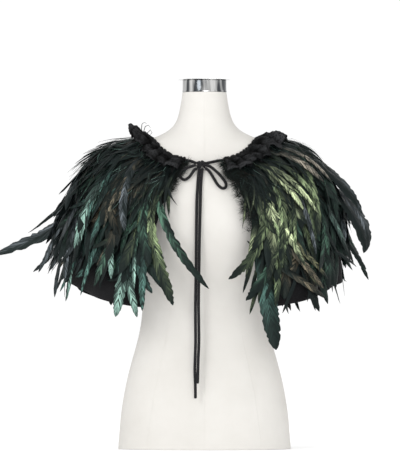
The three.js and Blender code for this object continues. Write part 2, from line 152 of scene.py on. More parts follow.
def degrees_from(angle, middle):
    """How many degrees, up or down, an angle in radians is from a middle given in degrees."""
    return np.degrees(np.mod(angle - math.radians(middle) + math.pi, math.tau) - math.pi)


# %% [markdown]
# ## Shared surface effects
# Woven and crocheted things need the same few effects: threads that cross, and soft dirt and wear that
# make the colour uneven. They are one shader node group, built once, that gives a height, a normal and a
# mask. Two more helpers turn a mask into a base colour.

# %% Shader helpers
def nodes_of(tree):
    """Short calls to add a node, to link two sockets and to add a math node in one node tree."""
    def add(kind, **values):
        node = tree.nodes.new(kind)
        for key, value in values.items():
            if hasattr(node, key):
                setattr(node, key, value)
            else:
                node.inputs[key.replace("_", " ")].default_value = value
        return node

    def link(source, target):
        tree.links.new(source, target)

    def math_node(operation, first, second=0.0, third=None):
        node = tree.nodes.new("ShaderNodeMath")
        node.operation = operation
        for socket, value in zip(node.inputs, (first, second, third)):
            if value is None:
                continue
            if isinstance(value, (int, float)):
                socket.default_value = value
            else:
                tree.links.new(value, socket)
        return node.outputs[0]

    return add, link, math_node


def new_material(name, **principled):
    """A material with its Principled shader set to plain values."""
    material = bpy.data.materials.new(name)
    material.use_nodes = True
    shader = material.node_tree.nodes["Principled BSDF"]
    for key, value in principled.items():
        shader.inputs[key.replace("_", " ")].default_value = value
    return material, shader


def new_group(name, inputs, outputs):
    """An empty shader group with its sockets, and the nodes that bring values in and out."""
    group = bpy.data.node_groups.new(name, "ShaderNodeTree")
    for label, kind, value in inputs:
        socket = group.interface.new_socket(label, in_out="INPUT", socket_type=kind)
        if value is not None:
            socket.default_value = value
    for label, kind in outputs:
        group.interface.new_socket(label, in_out="OUTPUT", socket_type=kind)
    return group, group.nodes.new("NodeGroupInput"), group.nodes.new("NodeGroupOutput")


def place_group(material, group, **values):
    """Puts a shader group into a material, with its own values."""
    node = material.node_tree.nodes.new("ShaderNodeGroup")
    node.node_tree = group
    for key, value in values.items():
        node.inputs[key.replace("_", " ")].default_value = value
    return node


def two_tones(material, shader, factor, dark, light, low=0.3, high=0.7):
    """Base colour that goes from dark to light as a mask goes from low to high."""
    add, link, _ = nodes_of(material.node_tree)
    ramp = add("ShaderNodeValToRGB")
    for end, position, colour in zip(ramp.color_ramp.elements, (low, high), (dark, light)):
        end.position = position
        end.color = (*colour, 1)
    link(factor, ramp.inputs["Fac"])
    link(ramp.outputs["Color"], shader.inputs["Base Color"])


def tinted(material, shader, factor, dark, colour):
    """Base colour that goes from a plain dark to a node's own colour as a mask goes from 0 to 1."""
    add, link, _ = nodes_of(material.node_tree)
    mixed = add("ShaderNodeMix", data_type="RGBA")
    low, high = [socket for socket in mixed.inputs if socket.type == "RGBA"]
    low.default_value = (*dark, 1)
    link(colour, high)
    link(factor, mixed.inputs["Factor"])
    link([socket for socket in mixed.outputs if socket.type == "RGBA"][0], shader.inputs["Base Color"])


# %% Weave group
def make_weave_group():
    """Crossing threads on a flat place in metres: a height and a normal, and a mask of uneven colour."""
    group, source, result = new_group(
        "woven threads",
        [("Place", "NodeSocketVector", None), ("Threads", "NodeSocketFloat", 900.0),
         ("Depth", "NodeSocketFloat", 0.3), ("Patches", "NodeSocketFloat", 18.0)],
        [("Height", "NodeSocketFloat"), ("Normal", "NodeSocketVector"), ("Uneven", "NodeSocketFloat")],
    )
    add, link, calc = nodes_of(group)
    parts = add("ShaderNodeSeparateXYZ")
    link(source.outputs["Place"], parts.inputs[0])
    waves = []
    for axis in (0, 1):
        turned = calc("MULTIPLY", parts.outputs[axis], source.outputs["Threads"])
        waves.append(calc("SINE", calc("MULTIPLY", turned, math.tau)))
    crossing = calc("MULTIPLY", *waves)
    fuzz = add("ShaderNodeTexNoise", Scale=260.0, Detail=3.0)
    link(source.outputs["Place"], fuzz.inputs["Vector"])
    height = calc("ADD", calc("MULTIPLY", crossing, 0.5), calc("MULTIPLY", fuzz.outputs["Fac"], 0.9))
    bump = add("ShaderNodeBump", Distance=0.0004)
    link(source.outputs["Depth"], bump.inputs["Strength"])
    link(height, bump.inputs["Height"])
    patches = add("ShaderNodeTexNoise", Detail=4.0, Roughness=0.6)
    link(source.outputs["Place"], patches.inputs["Vector"])
    link(source.outputs["Patches"], patches.inputs["Scale"])
    link(height, result.inputs["Height"])
    link(bump.outputs["Normal"], result.inputs["Normal"])
    link(patches.outputs["Fac"], result.inputs["Uneven"])
    return group


WEAVE = make_weave_group()
print("weave group nodes:", len(WEAVE.nodes))


def woven_material(name, dark, light, threads, depth, patches=18.0, uv=True, **principled):
    """Cloth whose threads follow the piece's own cut, or its place in space."""
    material, shader = new_material(name, **principled)
    add, link, _ = nodes_of(material.node_tree)
    weave = place_group(material, WEAVE, Threads=threads, Depth=depth, Patches=patches)
    if uv:
        place = add("ShaderNodeUVMap", uv_map="cut").outputs["UV"]
    else:
        place = add("ShaderNodeTexCoord").outputs["Object"]
    link(place, weave.inputs["Place"])
    two_tones(material, shader, weave.outputs["Uneven"], dark, light)
    link(weave.outputs["Normal"], shader.inputs["Normal"])
    return material


# %% [markdown]
# ## The cloths and the cord
# The cape is cut from matte black cloth, the form is covered in off-white jersey and the cord is woven.
# They differ in thread count and colour, so one function makes all three materials. The collar is
# crocheted: rounded stitches with dark holes between them, which a cell pattern gives. How deep a place
# lies in the folds is stored on its mesh, and the collar's colour carries painted shade in the folds from it.

# %% Crocheted collar material
def make_collar_material():
    """Soft open crochet: rounded stitches of thread with dark holes between them, and painted shade in the
    folds.
    """
    material, shader = new_material("collar_cloth", Roughness=0.9, Specular_IOR_Level=0.1)
    add, link, calc = nodes_of(material.node_tree)
    place = add("ShaderNodeUVMap", uv_map="cut").outputs["UV"]
    stitches = add("ShaderNodeTexVoronoi", Scale=330.0, Randomness=0.55)
    link(place, stitches.inputs["Vector"])
    weave = place_group(material, WEAVE, Threads=1100.0, Depth=0.5, Patches=60.0)
    link(place, weave.inputs["Place"])
    thread = calc("MINIMUM", calc("MULTIPLY", stitches.outputs["Distance"], 1.9), 1.0)
    tone = calc("MULTIPLY", thread, calc("MULTIPLY_ADD", weave.outputs["Uneven"], 1.3, 0.1))
    # painted shade: the fold depth stored on the mesh darkens the collar's colour in its folds
    tone = calc("MULTIPLY", tone, add("ShaderNodeAttribute", attribute_name="fold_shade").outputs["Fac"])
    two_tones(material, shader, tone, (0.0012, 0.0013, 0.0013), (0.034, 0.035, 0.037), 0.12, 0.95)
    bump = add("ShaderNodeBump", Strength=0.8, Distance=0.0009)
    link(calc("MULTIPLY_ADD", weave.outputs["Height"], 0.25, thread), bump.inputs["Height"])
    link(bump.outputs["Normal"], shader.inputs["Normal"])
    return material


COLLAR_CLOTH = make_collar_material()
print("collar material nodes:", len(COLLAR_CLOTH.node_tree.nodes))

# %% Cloth materials
CAPE_CLOTH = woven_material(
    "cape_cloth", (0.0035, 0.0035, 0.004), (0.008, 0.008, 0.009), threads=700.0, depth=0.5,
    Roughness=0.95, Specular_IOR_Level=0.2, Sheen_Weight=0.03, Sheen_Roughness=0.5,
)
FORM_COVER = woven_material(
    "form_cover", (0.585, 0.568, 0.535), (0.64, 0.624, 0.594), threads=520.0, depth=0.12, patches=7.0,
    uv=False, Roughness=0.85, Specular_IOR_Level=0.25, Sheen_Weight=0.04, Sheen_Roughness=0.5,
)
CORD_CLOTH = woven_material(
    "cord_cloth", (0.004, 0.004, 0.0045), (0.016, 0.016, 0.018), threads=900.0, depth=0.6, patches=240.0,
    Roughness=0.85, Specular_IOR_Level=0.25, Sheen_Weight=0.05, Sheen_Roughness=0.4,
)
print("cloth materials:", [material.name for material in (CAPE_CLOTH, FORM_COVER, CORD_CLOTH)])

# %% [markdown]
# ## The drawstring
# A round woven cord about 5.5 mm thick runs in the collar's casing and comes out at both front ends.
# It is tied in a bow: a knot, two loops and two long ends that hang down in front of the form. It could
# be a curve with a bevel, but a mesh tube can carry the bumps of its plait, so each stretch is a tube
# round a smooth line through listed points.

# %% Cord routes
CORD_RADIUS = 2.9 * MM
CORD_ROUTES_MM = {
    "tail_long": [
        (-10.5, -99, 585.5), (-12.5, -104, 572), (-14.5, -113, 545), (-16, -122.5, 515),
        (-16.5, -127.5, 485), (-16.8, -129.5, 460), (-17.2, -130, 425), (-17.6, -130, 385),
        (-18.2, -130, 345), (-18.8, -130, 305), (-18.8, -130, 265), (-18.6, -130, 225),
        (-19.6, -130, 190), (-20.2, -130, 165), (-19.2, -130, 135), (-18.8, -130, 107),
    ],
    "tail_short": [
        (-4.2, -99, 585.1), (-6, -104, 572), (-7.8, -113, 545), (-8.6, -121.5, 515),
        (-9.4, -126.5, 485), (-10, -129, 460), (-10.8, -130, 425), (-11.3, -130.4, 385),
        (-11.9, -130.4, 345), (-12.4, -130.4, 305), (-12, -130.4, 265), (-11.6, -130.6, 225),
        (-13, -131, 190), (-13.7, -132, 165), (-14.4, -134, 138),
    ],
    "loop_left": [
        (-17.5, -101, 592), (-29, -102, 588), (-42, -103, 582.5), (-49.5, -104, 575), (-51, -105.5, 568),
        (-42.5, -108, 561), (-33, -107.5, 565.5), (-27, -106, 573), (-21, -103, 581.5), (-14.8, -101, 584.8),
    ],
    "loop_right": [
        (2.6, -101.6, 592), (13, -106, 587.5), (24, -108.5, 578.5), (35, -110, 567), (44, -111.5, 554),
        (43.5, -113.5, 545), (36, -114, 543.5), (27, -113, 551), (19, -110, 564), (11, -106.5, 577),
        (1.4, -102.2, 585.8),
    ],
    "span_left": [(-17.2, -96.8, 595.5), (-24, -95.4, 598.2), (-31.5, -92, 600.6), (-38.9, -88.6, 602.2)],
    "span_right": [(3.4, -96.8, 595.5), (14, -96.4, 597.6), (27, -93.6, 600.4), (38.9, -88.6, 602.2)],
}
PLAIT_PITCH = 9 * MM           # length of cord in which a strand of the plait goes once round
PLAIT_STRANDS = 4
CORD_SIDES = 20
CORD_STEP = 0.9 * MM


def smooth_line(points, step):
    """Points a small step apart on a smooth curve through the given ones."""
    points = np.asarray(points, float)
    padded = np.vstack([2 * points[0] - points[1], points, 2 * points[-1] - points[-2]])
    line = []
    for before, a, b, after in zip(padded, padded[1:], padded[2:], padded[3:]):
        count = max(2, int(np.linalg.norm(b - a) / step))
        t = np.arange(count)[:, None] / count
        slope_a, slope_b = (b - before) / 2, (after - a) / 2
        bend = slope_a + slope_b - 2 * (b - a)
        line.append(a + t * (slope_a + t * ((b - a) - slope_a - bend + t * bend)))
    return np.vstack(line + [points[-1:]])


def carried_frames(line):
    """Two directions across a line at each of its points, that don't spin about it."""
    ahead = unit(np.gradient(line, axis=0))
    side = np.cross(ahead[0], (0.0, 0.0, 1.0))
    side = unit(side if np.linalg.norm(side) > 0.1 else np.cross(ahead[0], (1.0, 0.0, 0.0)))
    sides = []
    for direction in ahead:
        side = unit(side - direction * np.dot(side, direction))
        sides.append(side)
    sides = np.array(sides)
    return sides, np.cross(ahead, sides)


def cord_mesh(line, radius):
    """A plaited cord along a line: points, faces and places on its cut."""
    walked = np.concatenate([[0], np.cumsum(np.linalg.norm(np.diff(line, axis=0), axis=1))])
    sides, ups = carried_frames(line)
    turn = np.linspace(0, math.tau, CORD_SIDES, endpoint=False)[None, :]
    along = walked[:, None] * math.tau / PLAIT_PITCH
    one_way = np.abs(np.sin(PLAIT_STRANDS / 2 * (turn + along)))
    other_way = np.abs(np.sin(PLAIT_STRANDS / 2 * (turn - along)))
    relief = radius * (0.96 + 0.12 * np.maximum(one_way, other_way))
    near_end = np.minimum(walked, walked[-1] - walked)[:, None]
    relief = relief * np.clip(0.55 + near_end / (1.2 * radius), 0, 1)
    points = (
        line[:, None]
        + sides[:, None] * (relief * np.cos(turn))[..., None]
        + ups[:, None] * (relief * np.sin(turn))[..., None]
    )
    uv = np.stack(np.broadcast_arrays(turn * radius, walked[:, None]), axis=-1)
    return points.reshape(-1, 3), tube_faces(len(line), CORD_SIDES), uv.reshape(-1, 2)


# %% Cord pieces
for cord_name, route in CORD_ROUTES_MM.items():
    line = smooth_line(np.array(route) * MM, CORD_STEP)
    points, faces, uv = cord_mesh(line, CORD_RADIUS)
    new_piece("cord_" + cord_name, points, faces, CORD_CLOTH, "cord", uv, cord_name)
    print(cord_name, f"{np.linalg.norm(np.diff(line, axis=0), axis=1).sum() * 1000:.0f} mm long")

# %% [markdown]
# ## The knot of the bow
# The middle of a bow is one turn of cord pulled tight over the strands that cross behind it. A ball
# would look like a bead, so the knot is wound from short stretches of the same plaited cord: three turns
# that lie side by side, and three strands that cross inside them.

# %% Knot
KNOT_MIDDLE = np.array((-7.0, -98.0, 593.0)) * MM
KNOT_CORD = 2.6 * MM
KNOT_RING_POINTS = 44
KNOT_BANDS = [                   # how far along, half depth, half height and slant of each turn of cord
    (-5.4, 3.6, 4.8, 1.6), (-0.2, 4.3, 5.9, 2.2), (5.0, 3.7, 5.0, -1.2),
]
KNOT_STRANDS = [                 # each strand's places, off the knot's middle
    ((-10.5, 0.8, 3.0), (-3, -1.8, 3.4), (3, -1.0, 0.6), (10, 0.5, -2.8)),
    ((-10.0, -0.8, -3.6), (-3, -0.2, -2.6), (3, -1.6, 2.0), (10.5, 0.2, 3.2)),
    ((-8.0, 1.2, 0), (0, 1.6, 0.4), (8.0, 1.0, 0)),
]


def make_knot():
    """The knot's turns and strands of cord, as one piece."""
    parts = []
    turn = np.linspace(0.0, math.tau, KNOT_RING_POINTS)
    for shift, deep, tall, slant in KNOT_BANDS:
        ring = np.stack([shift + slant * np.sin(turn), -deep * np.cos(turn), tall * np.sin(turn)], axis=1)
        parts.append(cord_mesh(KNOT_MIDDLE + ring * MM, KNOT_CORD))
    for strand in KNOT_STRANDS:
        parts.append(cord_mesh(smooth_line(KNOT_MIDDLE + np.array(strand) * MM, CORD_STEP), KNOT_CORD))
    uv = np.vstack([part[2] for part in parts])
    return new_piece("cord_knot", *join_meshes(parts), CORD_CLOTH, "cord", uv, "bow_knot")


knot = make_knot()

# %% [markdown]
# ## What the cords are
# The loops go back into the knot and the long ends are cut off bare. The two short spans between the casing
# and the knot are pulled tight, so they aren't free cords.

# %% [markdown]
# ## The cape's surface
# Every soft thing on this object lies on the cape, so its surface comes first, as a formula. Each ring
# from the neck to the hem has a half width, a depth in front and behind, a height at the side, the front
# and the back, and the distance of its front edge from the middle. How sharply it climbs to the shoulder
# is one more number. Past the hem the rings go on down, because feathers hang there. The surface is
# worked out once on a fine grid, pushed clear of the shoulders, and then read at any place.

# %% Rings of the cape
RING_COLUMNS = ("along", "half", "front", "back", "side_z", "front_z", "back_z", "edge", "rise")
CAPE_RINGS = np.array([
    (-0.1, 0.100, 0.070, 0.078, 0.658, 0.613, 0.639, 0.036, 3.8),
    (-0.05, 0.112, 0.078, 0.087, 0.653, 0.602, 0.629, 0.038, 3.5),
    (0, 0.124, 0.086, 0.096, 0.6485, 0.591, 0.619, 0.040, 3.2),
    (0.11, 0.155, 0.103, 0.115, 0.641, 0.568, 0.595, 0.052, 2.8),
    (0.22, 0.190, 0.121, 0.131, 0.629, 0.544, 0.567, 0.068, 2.91),
    (0.33, 0.223, 0.138, 0.147, 0.603, 0.515, 0.535, 0.082, 3.06),
    (0.44, 0.248, 0.152, 0.161, 0.565, 0.482, 0.500, 0.094, 3.22),
    (0.56, 0.265, 0.162, 0.172, 0.519, 0.444, 0.460, 0.105, 3.38),
    (0.68, 0.276, 0.169, 0.182, 0.472, 0.406, 0.418, 0.116, 3.55),
    (0.8, 0.281, 0.174, 0.191, 0.424, 0.367, 0.375, 0.126, 3.72),
    (0.9, 0.283, 0.178, 0.197, 0.388, 0.331, 0.335, 0.134, 3.86),
    (1, 0.283, 0.180, 0.202, 0.352, 0.295, 0.293, 0.140, 4),
    (1.25, 0.280, 0.182, 0.208, 0.262, 0.205, 0.203, 0.146, 4),
    (1.5, 0.274, 0.180, 0.210, 0.172, 0.115, 0.113, 0.150, 4),
])
FLUTE_COUNT, FLUTE_DEPTH = 9, 5 * MM
CLOTH_GAP = 2.0 * MM
CLOTH_THICK = 1.8 * MM


def read_table(table, values):
    """Smooth curves through a table's rows, read at any values of its first column."""
    key, last = table[:, 0], len(table) - 1
    after, before = np.minimum(np.arange(last + 1) + 1, last), np.maximum(np.arange(last + 1) - 1, 0)
    slopes = (table[after] - table[before]) / (key[after] - key[before])[:, None]
    i = np.clip(np.searchsorted(key, values, side="right") - 1, 0, last - 1)
    span = (key[i + 1] - key[i])[..., None]
    t = np.clip((values - key[i])[..., None] / span, 0, 1)
    start, change = table[i], table[i + 1] - table[i]
    slope_a, slope_b = slopes[i] * span, slopes[i + 1] * span
    bend = slope_a + slope_b - 2 * change
    return start + t * (slope_a + t * (change - slope_a - bend + t * bend))


def ring_point(angle, along):
    """A point on the cloth's inside, before the form pushes it out."""
    ring = dict(zip(RING_COLUMNS, np.moveaxis(read_table(CAPE_RINGS, along), -1, 0)))
    across, ahead = np.sin(angle), np.cos(angle)
    depth = np.where(ahead > 0, ring["front"], ring["back"])
    low = np.where(ahead > 0, ring["front_z"], ring["back_z"])
    share = np.clip(along, 0, 1)
    rise = np.abs(across) ** ring["rise"]
    flute = FLUTE_DEPTH * share**2 * np.cos(FLUTE_COUNT * angle)
    return np.stack([(ring["half"] + flute) * across, -(depth + flute) * ahead,
                     low + (ring["side_z"] - low) * rise], axis=-1)


def edge_angle(along):
    """The angle of the cape's front edge, from the middle of the front."""
    ring = read_table(CAPE_RINGS, np.asarray(along, float))
    return np.arcsin(ring[..., RING_COLUMNS.index("edge")] / ring[..., RING_COLUMNS.index("half")])


# %% Fine grid of the cape's surface
def search_tree(mesh):
    """A tree that finds the nearest place on a mesh, or where a ray meets it."""
    return BVHTree.FromPolygons([v.co for v in mesh.vertices], [p.vertices for p in mesh.polygons])


GRID_ANGLES = np.linspace(0, math.tau, 361)
GRID_ALONG = np.linspace(-0.1, 1.5, 161)
FREE_BELOW = 0.5                 # under this height the cape hangs clear of the form by itself
form_tree = search_tree(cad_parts["dress_form"].data)


def clear_of_form(points, gap):
    """Moves points that are in the form, or closer than a gap, straight out of it."""
    for index in zip(*np.nonzero(points[..., 2] > FREE_BELOW)):
        for _ in range(3):
            place, normal, _, distance = form_tree.find_nearest(Vector(points[index]))
            signed = distance * (1 if (Vector(points[index]) - place).dot(normal) > 0 else -1)
            if signed >= gap:
                break
            points[index] += np.array(normal) * (gap - signed)
    return points


surface = clear_of_form(ring_point(*np.meshgrid(GRID_ANGLES, GRID_ALONG)), CLOTH_GAP + 0.3 * MM)
padded_surface = np.concatenate([surface[:, -2:-1], surface, surface[:, 1:2]], axis=1)
per_angle = np.gradient(padded_surface, axis=1)[:, 1:-1] / (GRID_ANGLES[1] - GRID_ANGLES[0])
per_along = np.gradient(surface, axis=0) / (GRID_ALONG[1] - GRID_ALONG[0])
SURFACE_GRID = np.concatenate([surface, per_angle, per_along], axis=-1)


def on_cape(angle, along):
    """Reads the cape's inside at any angle and share of the way down: point, directions and step sizes."""
    column = np.mod(angle, math.tau) / (GRID_ANGLES[1] - GRID_ANGLES[0])
    row = np.clip((along - GRID_ALONG[0]) / (GRID_ALONG[1] - GRID_ALONG[0]), 0, len(GRID_ALONG) - 1.001)
    left, top = np.floor(column).astype(int) % (len(GRID_ANGLES) - 1), np.floor(row).astype(int)
    across, down = (column - np.floor(column))[..., None], (row - top)[..., None]
    upper = SURFACE_GRID[top, left] * (1 - across) + SURFACE_GRID[top, left + 1] * across
    lower = SURFACE_GRID[top + 1, left] * (1 - across) + SURFACE_GRID[top + 1, left + 1] * across
    read = upper * (1 - down) + lower * down
    round_step, down_step = read[..., 3:6], read[..., 6:9]
    out = unit(np.cross(down_step, round_step))
    return {
        "point": read[..., :3], "round": unit(round_step), "down": unit(down_step), "out": out,
        "per_angle": np.linalg.norm(round_step, axis=-1), "per_along": np.linalg.norm(down_step, axis=-1),
    }


def over_cape(angle, along, away):
    """Points that stand away from the cape's inside."""
    place = on_cape(angle, along)
    return place["point"] + place["out"] * np.asarray(away)[..., None]


print("cape surface grid:", surface.shape[:2])

# %% [markdown]
# ## The dress form
# A tailoring form is a hard shell under a stretched jersey cover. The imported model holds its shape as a
# coarse loft, so a merged copy is turned to quads and subdivided: that rounds it without moving it. The
# edges at the base and the neck stay sharp, because they are creased first.

# %% Dress form
def work_on(piece):
    """Selects one piece alone and makes it active, for the operators that follow."""
    bpy.ops.object.select_all(action="DESELECT")
    piece.select_set(True)
    bpy.context.view_layer.objects.active = piece


def apply_modifier(piece, kind, **values):
    """Adds a modifier with its values and applies it to the mesh."""
    work_on(piece)
    modifier = piece.modifiers.new(kind.lower(), kind)
    for key, value in values.items():
        setattr(modifier, key, value)
    bpy.ops.object.modifier_apply(modifier=modifier.name)


def merged_copy(node, name):
    """A new object with a CAD node's mesh, its doubles merged and its triangles paired."""
    piece = bpy.data.objects.new(name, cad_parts[node].data.copy())
    bpy.context.scene.collection.objects.link(piece)
    work_on(piece)
    bpy.ops.object.mode_set(mode="EDIT")
    bpy.ops.mesh.select_all(action="SELECT")
    bpy.ops.mesh.remove_doubles(threshold=1e-5)
    bpy.ops.mesh.tris_convert_to_quads()
    bpy.ops.mesh.select_all(action="DESELECT")
    bpy.ops.object.mode_set(mode="OBJECT")
    return piece


def make_form():
    """The form's body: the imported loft, creased at its two flat ends and subdivided."""
    form = merged_copy("dress_form", "form_body")
    mesh = form.data
    top = max(v.co.z for v in mesh.vertices)
    for edge in mesh.edges:
        heights = [mesh.vertices[i].co.z for i in edge.vertices]
        edge.select = max(heights) < 1e-4 or min(heights) > top - 1e-4
    bpy.ops.object.mode_set(mode="EDIT")
    bpy.ops.mesh.select_mode(type="EDGE")
    bpy.ops.transform.edge_crease(value=1.0)
    bpy.ops.object.mode_set(mode="OBJECT")
    apply_modifier(form, "SUBSURF", levels=2, render_levels=2)
    bpy.ops.object.shade_smooth_by_angle(angle=math.radians(40))
    finish_piece(form, FORM_COVER, "dress_form")
    return form


form = make_form()
print(form.name, "faces:", len(form.data.polygons))

# %% [markdown]
# ## Seams of the cover
# The jersey cover is sewn from long panels, so a real form shows a seam down the middle of the front and
# back, two princess seams over the bust, one at each side, and one round the waist. They are too thin
# for the form's own mesh. A narrow raised strip is laid on the surface along each of them, with a
# groove down its middle, and each of its points is found by casting a ray at the form.

# %% Form seams
SEAM_PROFILE_MM = [             # across the strip and out of the form
    (-1.9, -0.5), (-1.0, 0.22), (-0.25, 0.25), (0, -0.1), (0.25, 0.25), (1.0, 0.22), (1.9, -0.5),
]
SEAM_START_MM, SEAM_STEP_MM = 8, 6
MIDDLE_TOP_MM, SIDE_TOP_MM, PRINCESS_TOP_MM = 737, 600, 628
PRINCESS_LINE_MM = np.array([   # distance from the middle, and height
    (118, 20), (104, 120), (84, 210), (70, 290), (74, 350),
    (84, 420), (90, 470), (100, 530), (112, 590), (118, 628),
])
WAIST_HEIGHT, WAIST_POINTS = 0.290, 120
visible_form = search_tree(form.data)


def seam_line(starts, towards):
    """Places and normals where rays from the given points meet the form."""
    places, normals = [], []
    for start, direction in zip(starts, towards):
        place, normal, _, _ = visible_form.ray_cast(Vector(start), Vector(direction))
        if place is not None:
            places.append(place)
            normals.append(normal)
    return np.array(places), np.array(normals)


def seam_strip(places, normals, closed=False):
    """Points and faces of a narrow raised strip along a line of places on the form."""
    ahead = unit(np.gradient(places, axis=0))
    if closed:
        ahead = unit(np.roll(places, -1, axis=0) - np.roll(places, 1, axis=0))
    aside = unit(np.cross(ahead, normals))
    profile = np.array(SEAM_PROFILE_MM) * MM
    points = places[:, None] + aside[:, None] * profile[None, :, :1] + normals[:, None] * profile[None, :, 1:]
    count, wide = len(places), len(profile)
    faces = []
    for r in range(count if closed else count - 1):
        here, there = r * wide, ((r + 1) % count) * wide
        faces += [(here + c, here + c + 1, there + c + 1, there + c) for c in range(wide - 1)]
    return points.reshape(-1, 3), faces


def upright_seam(across, ahead, heights, towards):
    """The strip of a seam that level rays find at the given heights."""
    starts = np.stack(np.broadcast_arrays(across, ahead, heights), axis=1)
    return seam_strip(*seam_line(starts, [towards] * len(heights)))


def seam_heights(top_mm):
    """Heights of a seam's points, from just over the base to its top."""
    return np.arange(SEAM_START_MM, top_mm, SEAM_STEP_MM) * MM


def make_form_seams():
    """All the seams as one piece: middle, side and princess seams on both sides, and the waist."""
    line = PRINCESS_LINE_MM * MM
    heights = seam_heights(PRINCESS_TOP_MM)
    princess = np.interp(heights, line[:, 1], line[:, 0])
    strips = []
    for side in (-1, 1):
        strips.append(upright_seam(0.0, side, seam_heights(MIDDLE_TOP_MM), (0.0, -side, 0.0)))
        strips.append(upright_seam(side, 0.0, seam_heights(SIDE_TOP_MM), (-side, 0.0, 0.0)))
        for face in (-1, 1):
            strips.append(upright_seam(princess * side, face, heights, (0.0, -face, 0.0)))
    turn = np.linspace(0, math.tau, WAIST_POINTS, endpoint=False)
    waist = np.stack([np.sin(turn), -np.cos(turn), np.full_like(turn, WAIST_HEIGHT)], axis=1)
    strips.append(seam_strip(*seam_line(waist, waist * (-1, -1, 0)), closed=True))
    return new_piece("form_seams", *join_meshes(strips), FORM_COVER, "form_cover")


make_form_seams()

# %% [markdown]
# ## The metal neck cap
# The neck ends in a plated steel cap with a rolled lower rim. It could be turned from a profile, but it
# starts as a cylinder here, to show edit mode: its upper edge is bevelled, its top is inset, and its lower
# rim is pushed out into a bead. Real plating mirrors a dark room in uneven patches, so those patches are
# painted into the metal's colour as painted reflections. One fault is left: a thin brim stands out round the
# top, about 8 mm wide.

# %% Chrome material
def make_chrome():
    """Plated metal with painted reflections: the dark and bright patches that a mirror of a room would show.
    """
    material, shader = new_material("neck_chrome", Metallic=1.0, Roughness=0.16)
    add, link, calc = nodes_of(material.node_tree)
    place = add("ShaderNodeTexCoord").outputs["Object"]
    stretch = add("ShaderNodeMapping")
    stretch.inputs["Scale"].default_value = (1.0, 1.0, 0.22)
    link(place, stretch.inputs["Vector"])
    patches = add("ShaderNodeTexNoise", Scale=46.0, Detail=2.0, Roughness=0.45, Distortion=0.6)
    link(stretch.outputs["Vector"], patches.inputs["Vector"])
    # painted reflection: dark and bright patches of a mirrored room in the base colour
    two_tones(material, shader, patches.outputs["Fac"], (0.06, 0.065, 0.07), (0.66, 0.66, 0.65), 0.42, 0.60)
    scratches = add("ShaderNodeTexNoise", Scale=500.0, Detail=3.0)
    link(place, scratches.inputs["Vector"])
    link(calc("MULTIPLY_ADD", scratches.outputs["Fac"], 0.22, 0.04), shader.inputs["Roughness"])
    bump = add("ShaderNodeBump", Strength=0.05, Distance=0.0004)
    link(scratches.outputs["Fac"], bump.inputs["Height"])
    link(bump.outputs["Normal"], shader.inputs["Normal"])
    return material


NECK_CHROME = make_chrome()
print("chrome nodes:", len(NECK_CHROME.node_tree.nodes))

# %% Neck cap
CAP_RADIUS, CAP_HEIGHT, CAP_BASE = 46.5 * MM, 27 * MM, 746.3 * MM
CAP_EDGE = 3 * MM                # radius of the upper edge
CAP_BEAD, CAP_BEAD_LOW, CAP_BEAD_PROUD = 3.4 * MM, 0.4 * MM, 0.6 * MM
CAP_RIM, CAP_SLOPE, CAP_DIP = 4 * MM, 1.2 * MM, 0.8 * MM


def select_faces(piece, chosen):
    """Selects the faces for which chosen(middle, normal) is true, and leaves the mesh in edit mode."""
    bpy.ops.object.mode_set(mode="EDIT")
    bpy.ops.mesh.select_all(action="DESELECT")
    bpy.ops.object.mode_set(mode="OBJECT")
    for face in piece.data.polygons:
        face.select = bool(chosen(face.center, face.normal))
    bpy.ops.object.mode_set(mode="EDIT")


def make_neck_cap():
    """The cap, shaped in edit mode from a cylinder."""
    bpy.ops.object.select_all(action="DESELECT")
    bpy.ops.mesh.primitive_cylinder_add(vertices=96, radius=CAP_RADIUS - CAP_BEAD_PROUD, depth=CAP_HEIGHT,
                                        location=(0, 0, CAP_BASE + CAP_HEIGHT / 2))
    cap = bpy.context.object
    cap.name = "neck_cap_metal"
    bpy.ops.object.transform_apply(location=True)
    bpy.ops.object.mode_set(mode="EDIT")
    bpy.ops.mesh.select_mode(type="FACE")
    top = CAP_BASE + CAP_HEIGHT
    select_faces(cap, lambda middle, normal: normal.z > 0.9)
    bpy.ops.mesh.bevel(offset=CAP_EDGE, segments=6, affect="EDGES")
    select_faces(cap, lambda middle, normal: normal.z > 0.9 and middle.z > top - 1e-4)
    bpy.ops.mesh.inset(thickness=CAP_RIM)
    bpy.ops.mesh.inset(thickness=CAP_SLOPE, depth=-CAP_DIP)
    low, high = CAP_BASE + CAP_BEAD_LOW, CAP_BASE + CAP_BEAD
    for height in (high, low):
        bpy.ops.mesh.select_all(action="SELECT")
        bpy.ops.mesh.bisect(plane_co=(0, 0, height), plane_no=(0, 0, 1))
    select_faces(cap, lambda middle, normal: abs(normal.z) < 0.3 and low < middle.z < high)
    bpy.ops.mesh.extrude_region_shrink_fatten(TRANSFORM_OT_shrink_fatten={"value": CAP_BEAD_PROUD})
    bpy.ops.object.mode_set(mode="OBJECT")
    apply_modifier(cap, "BEVEL", width=0.5 * MM, segments=2, limit_method="ANGLE",
                   angle_limit=math.radians(50))
    bpy.ops.object.shade_smooth_by_angle(angle=math.radians(35))
    finish_piece(cap, NECK_CHROME, "neck_cap")
    return cap


neck_cap = make_neck_cap()
print(neck_cap.name, "faces:", len(neck_cap.data.polygons), "top corner:",
      [round(c, 4) for c in neck_cap.bound_box[6]])
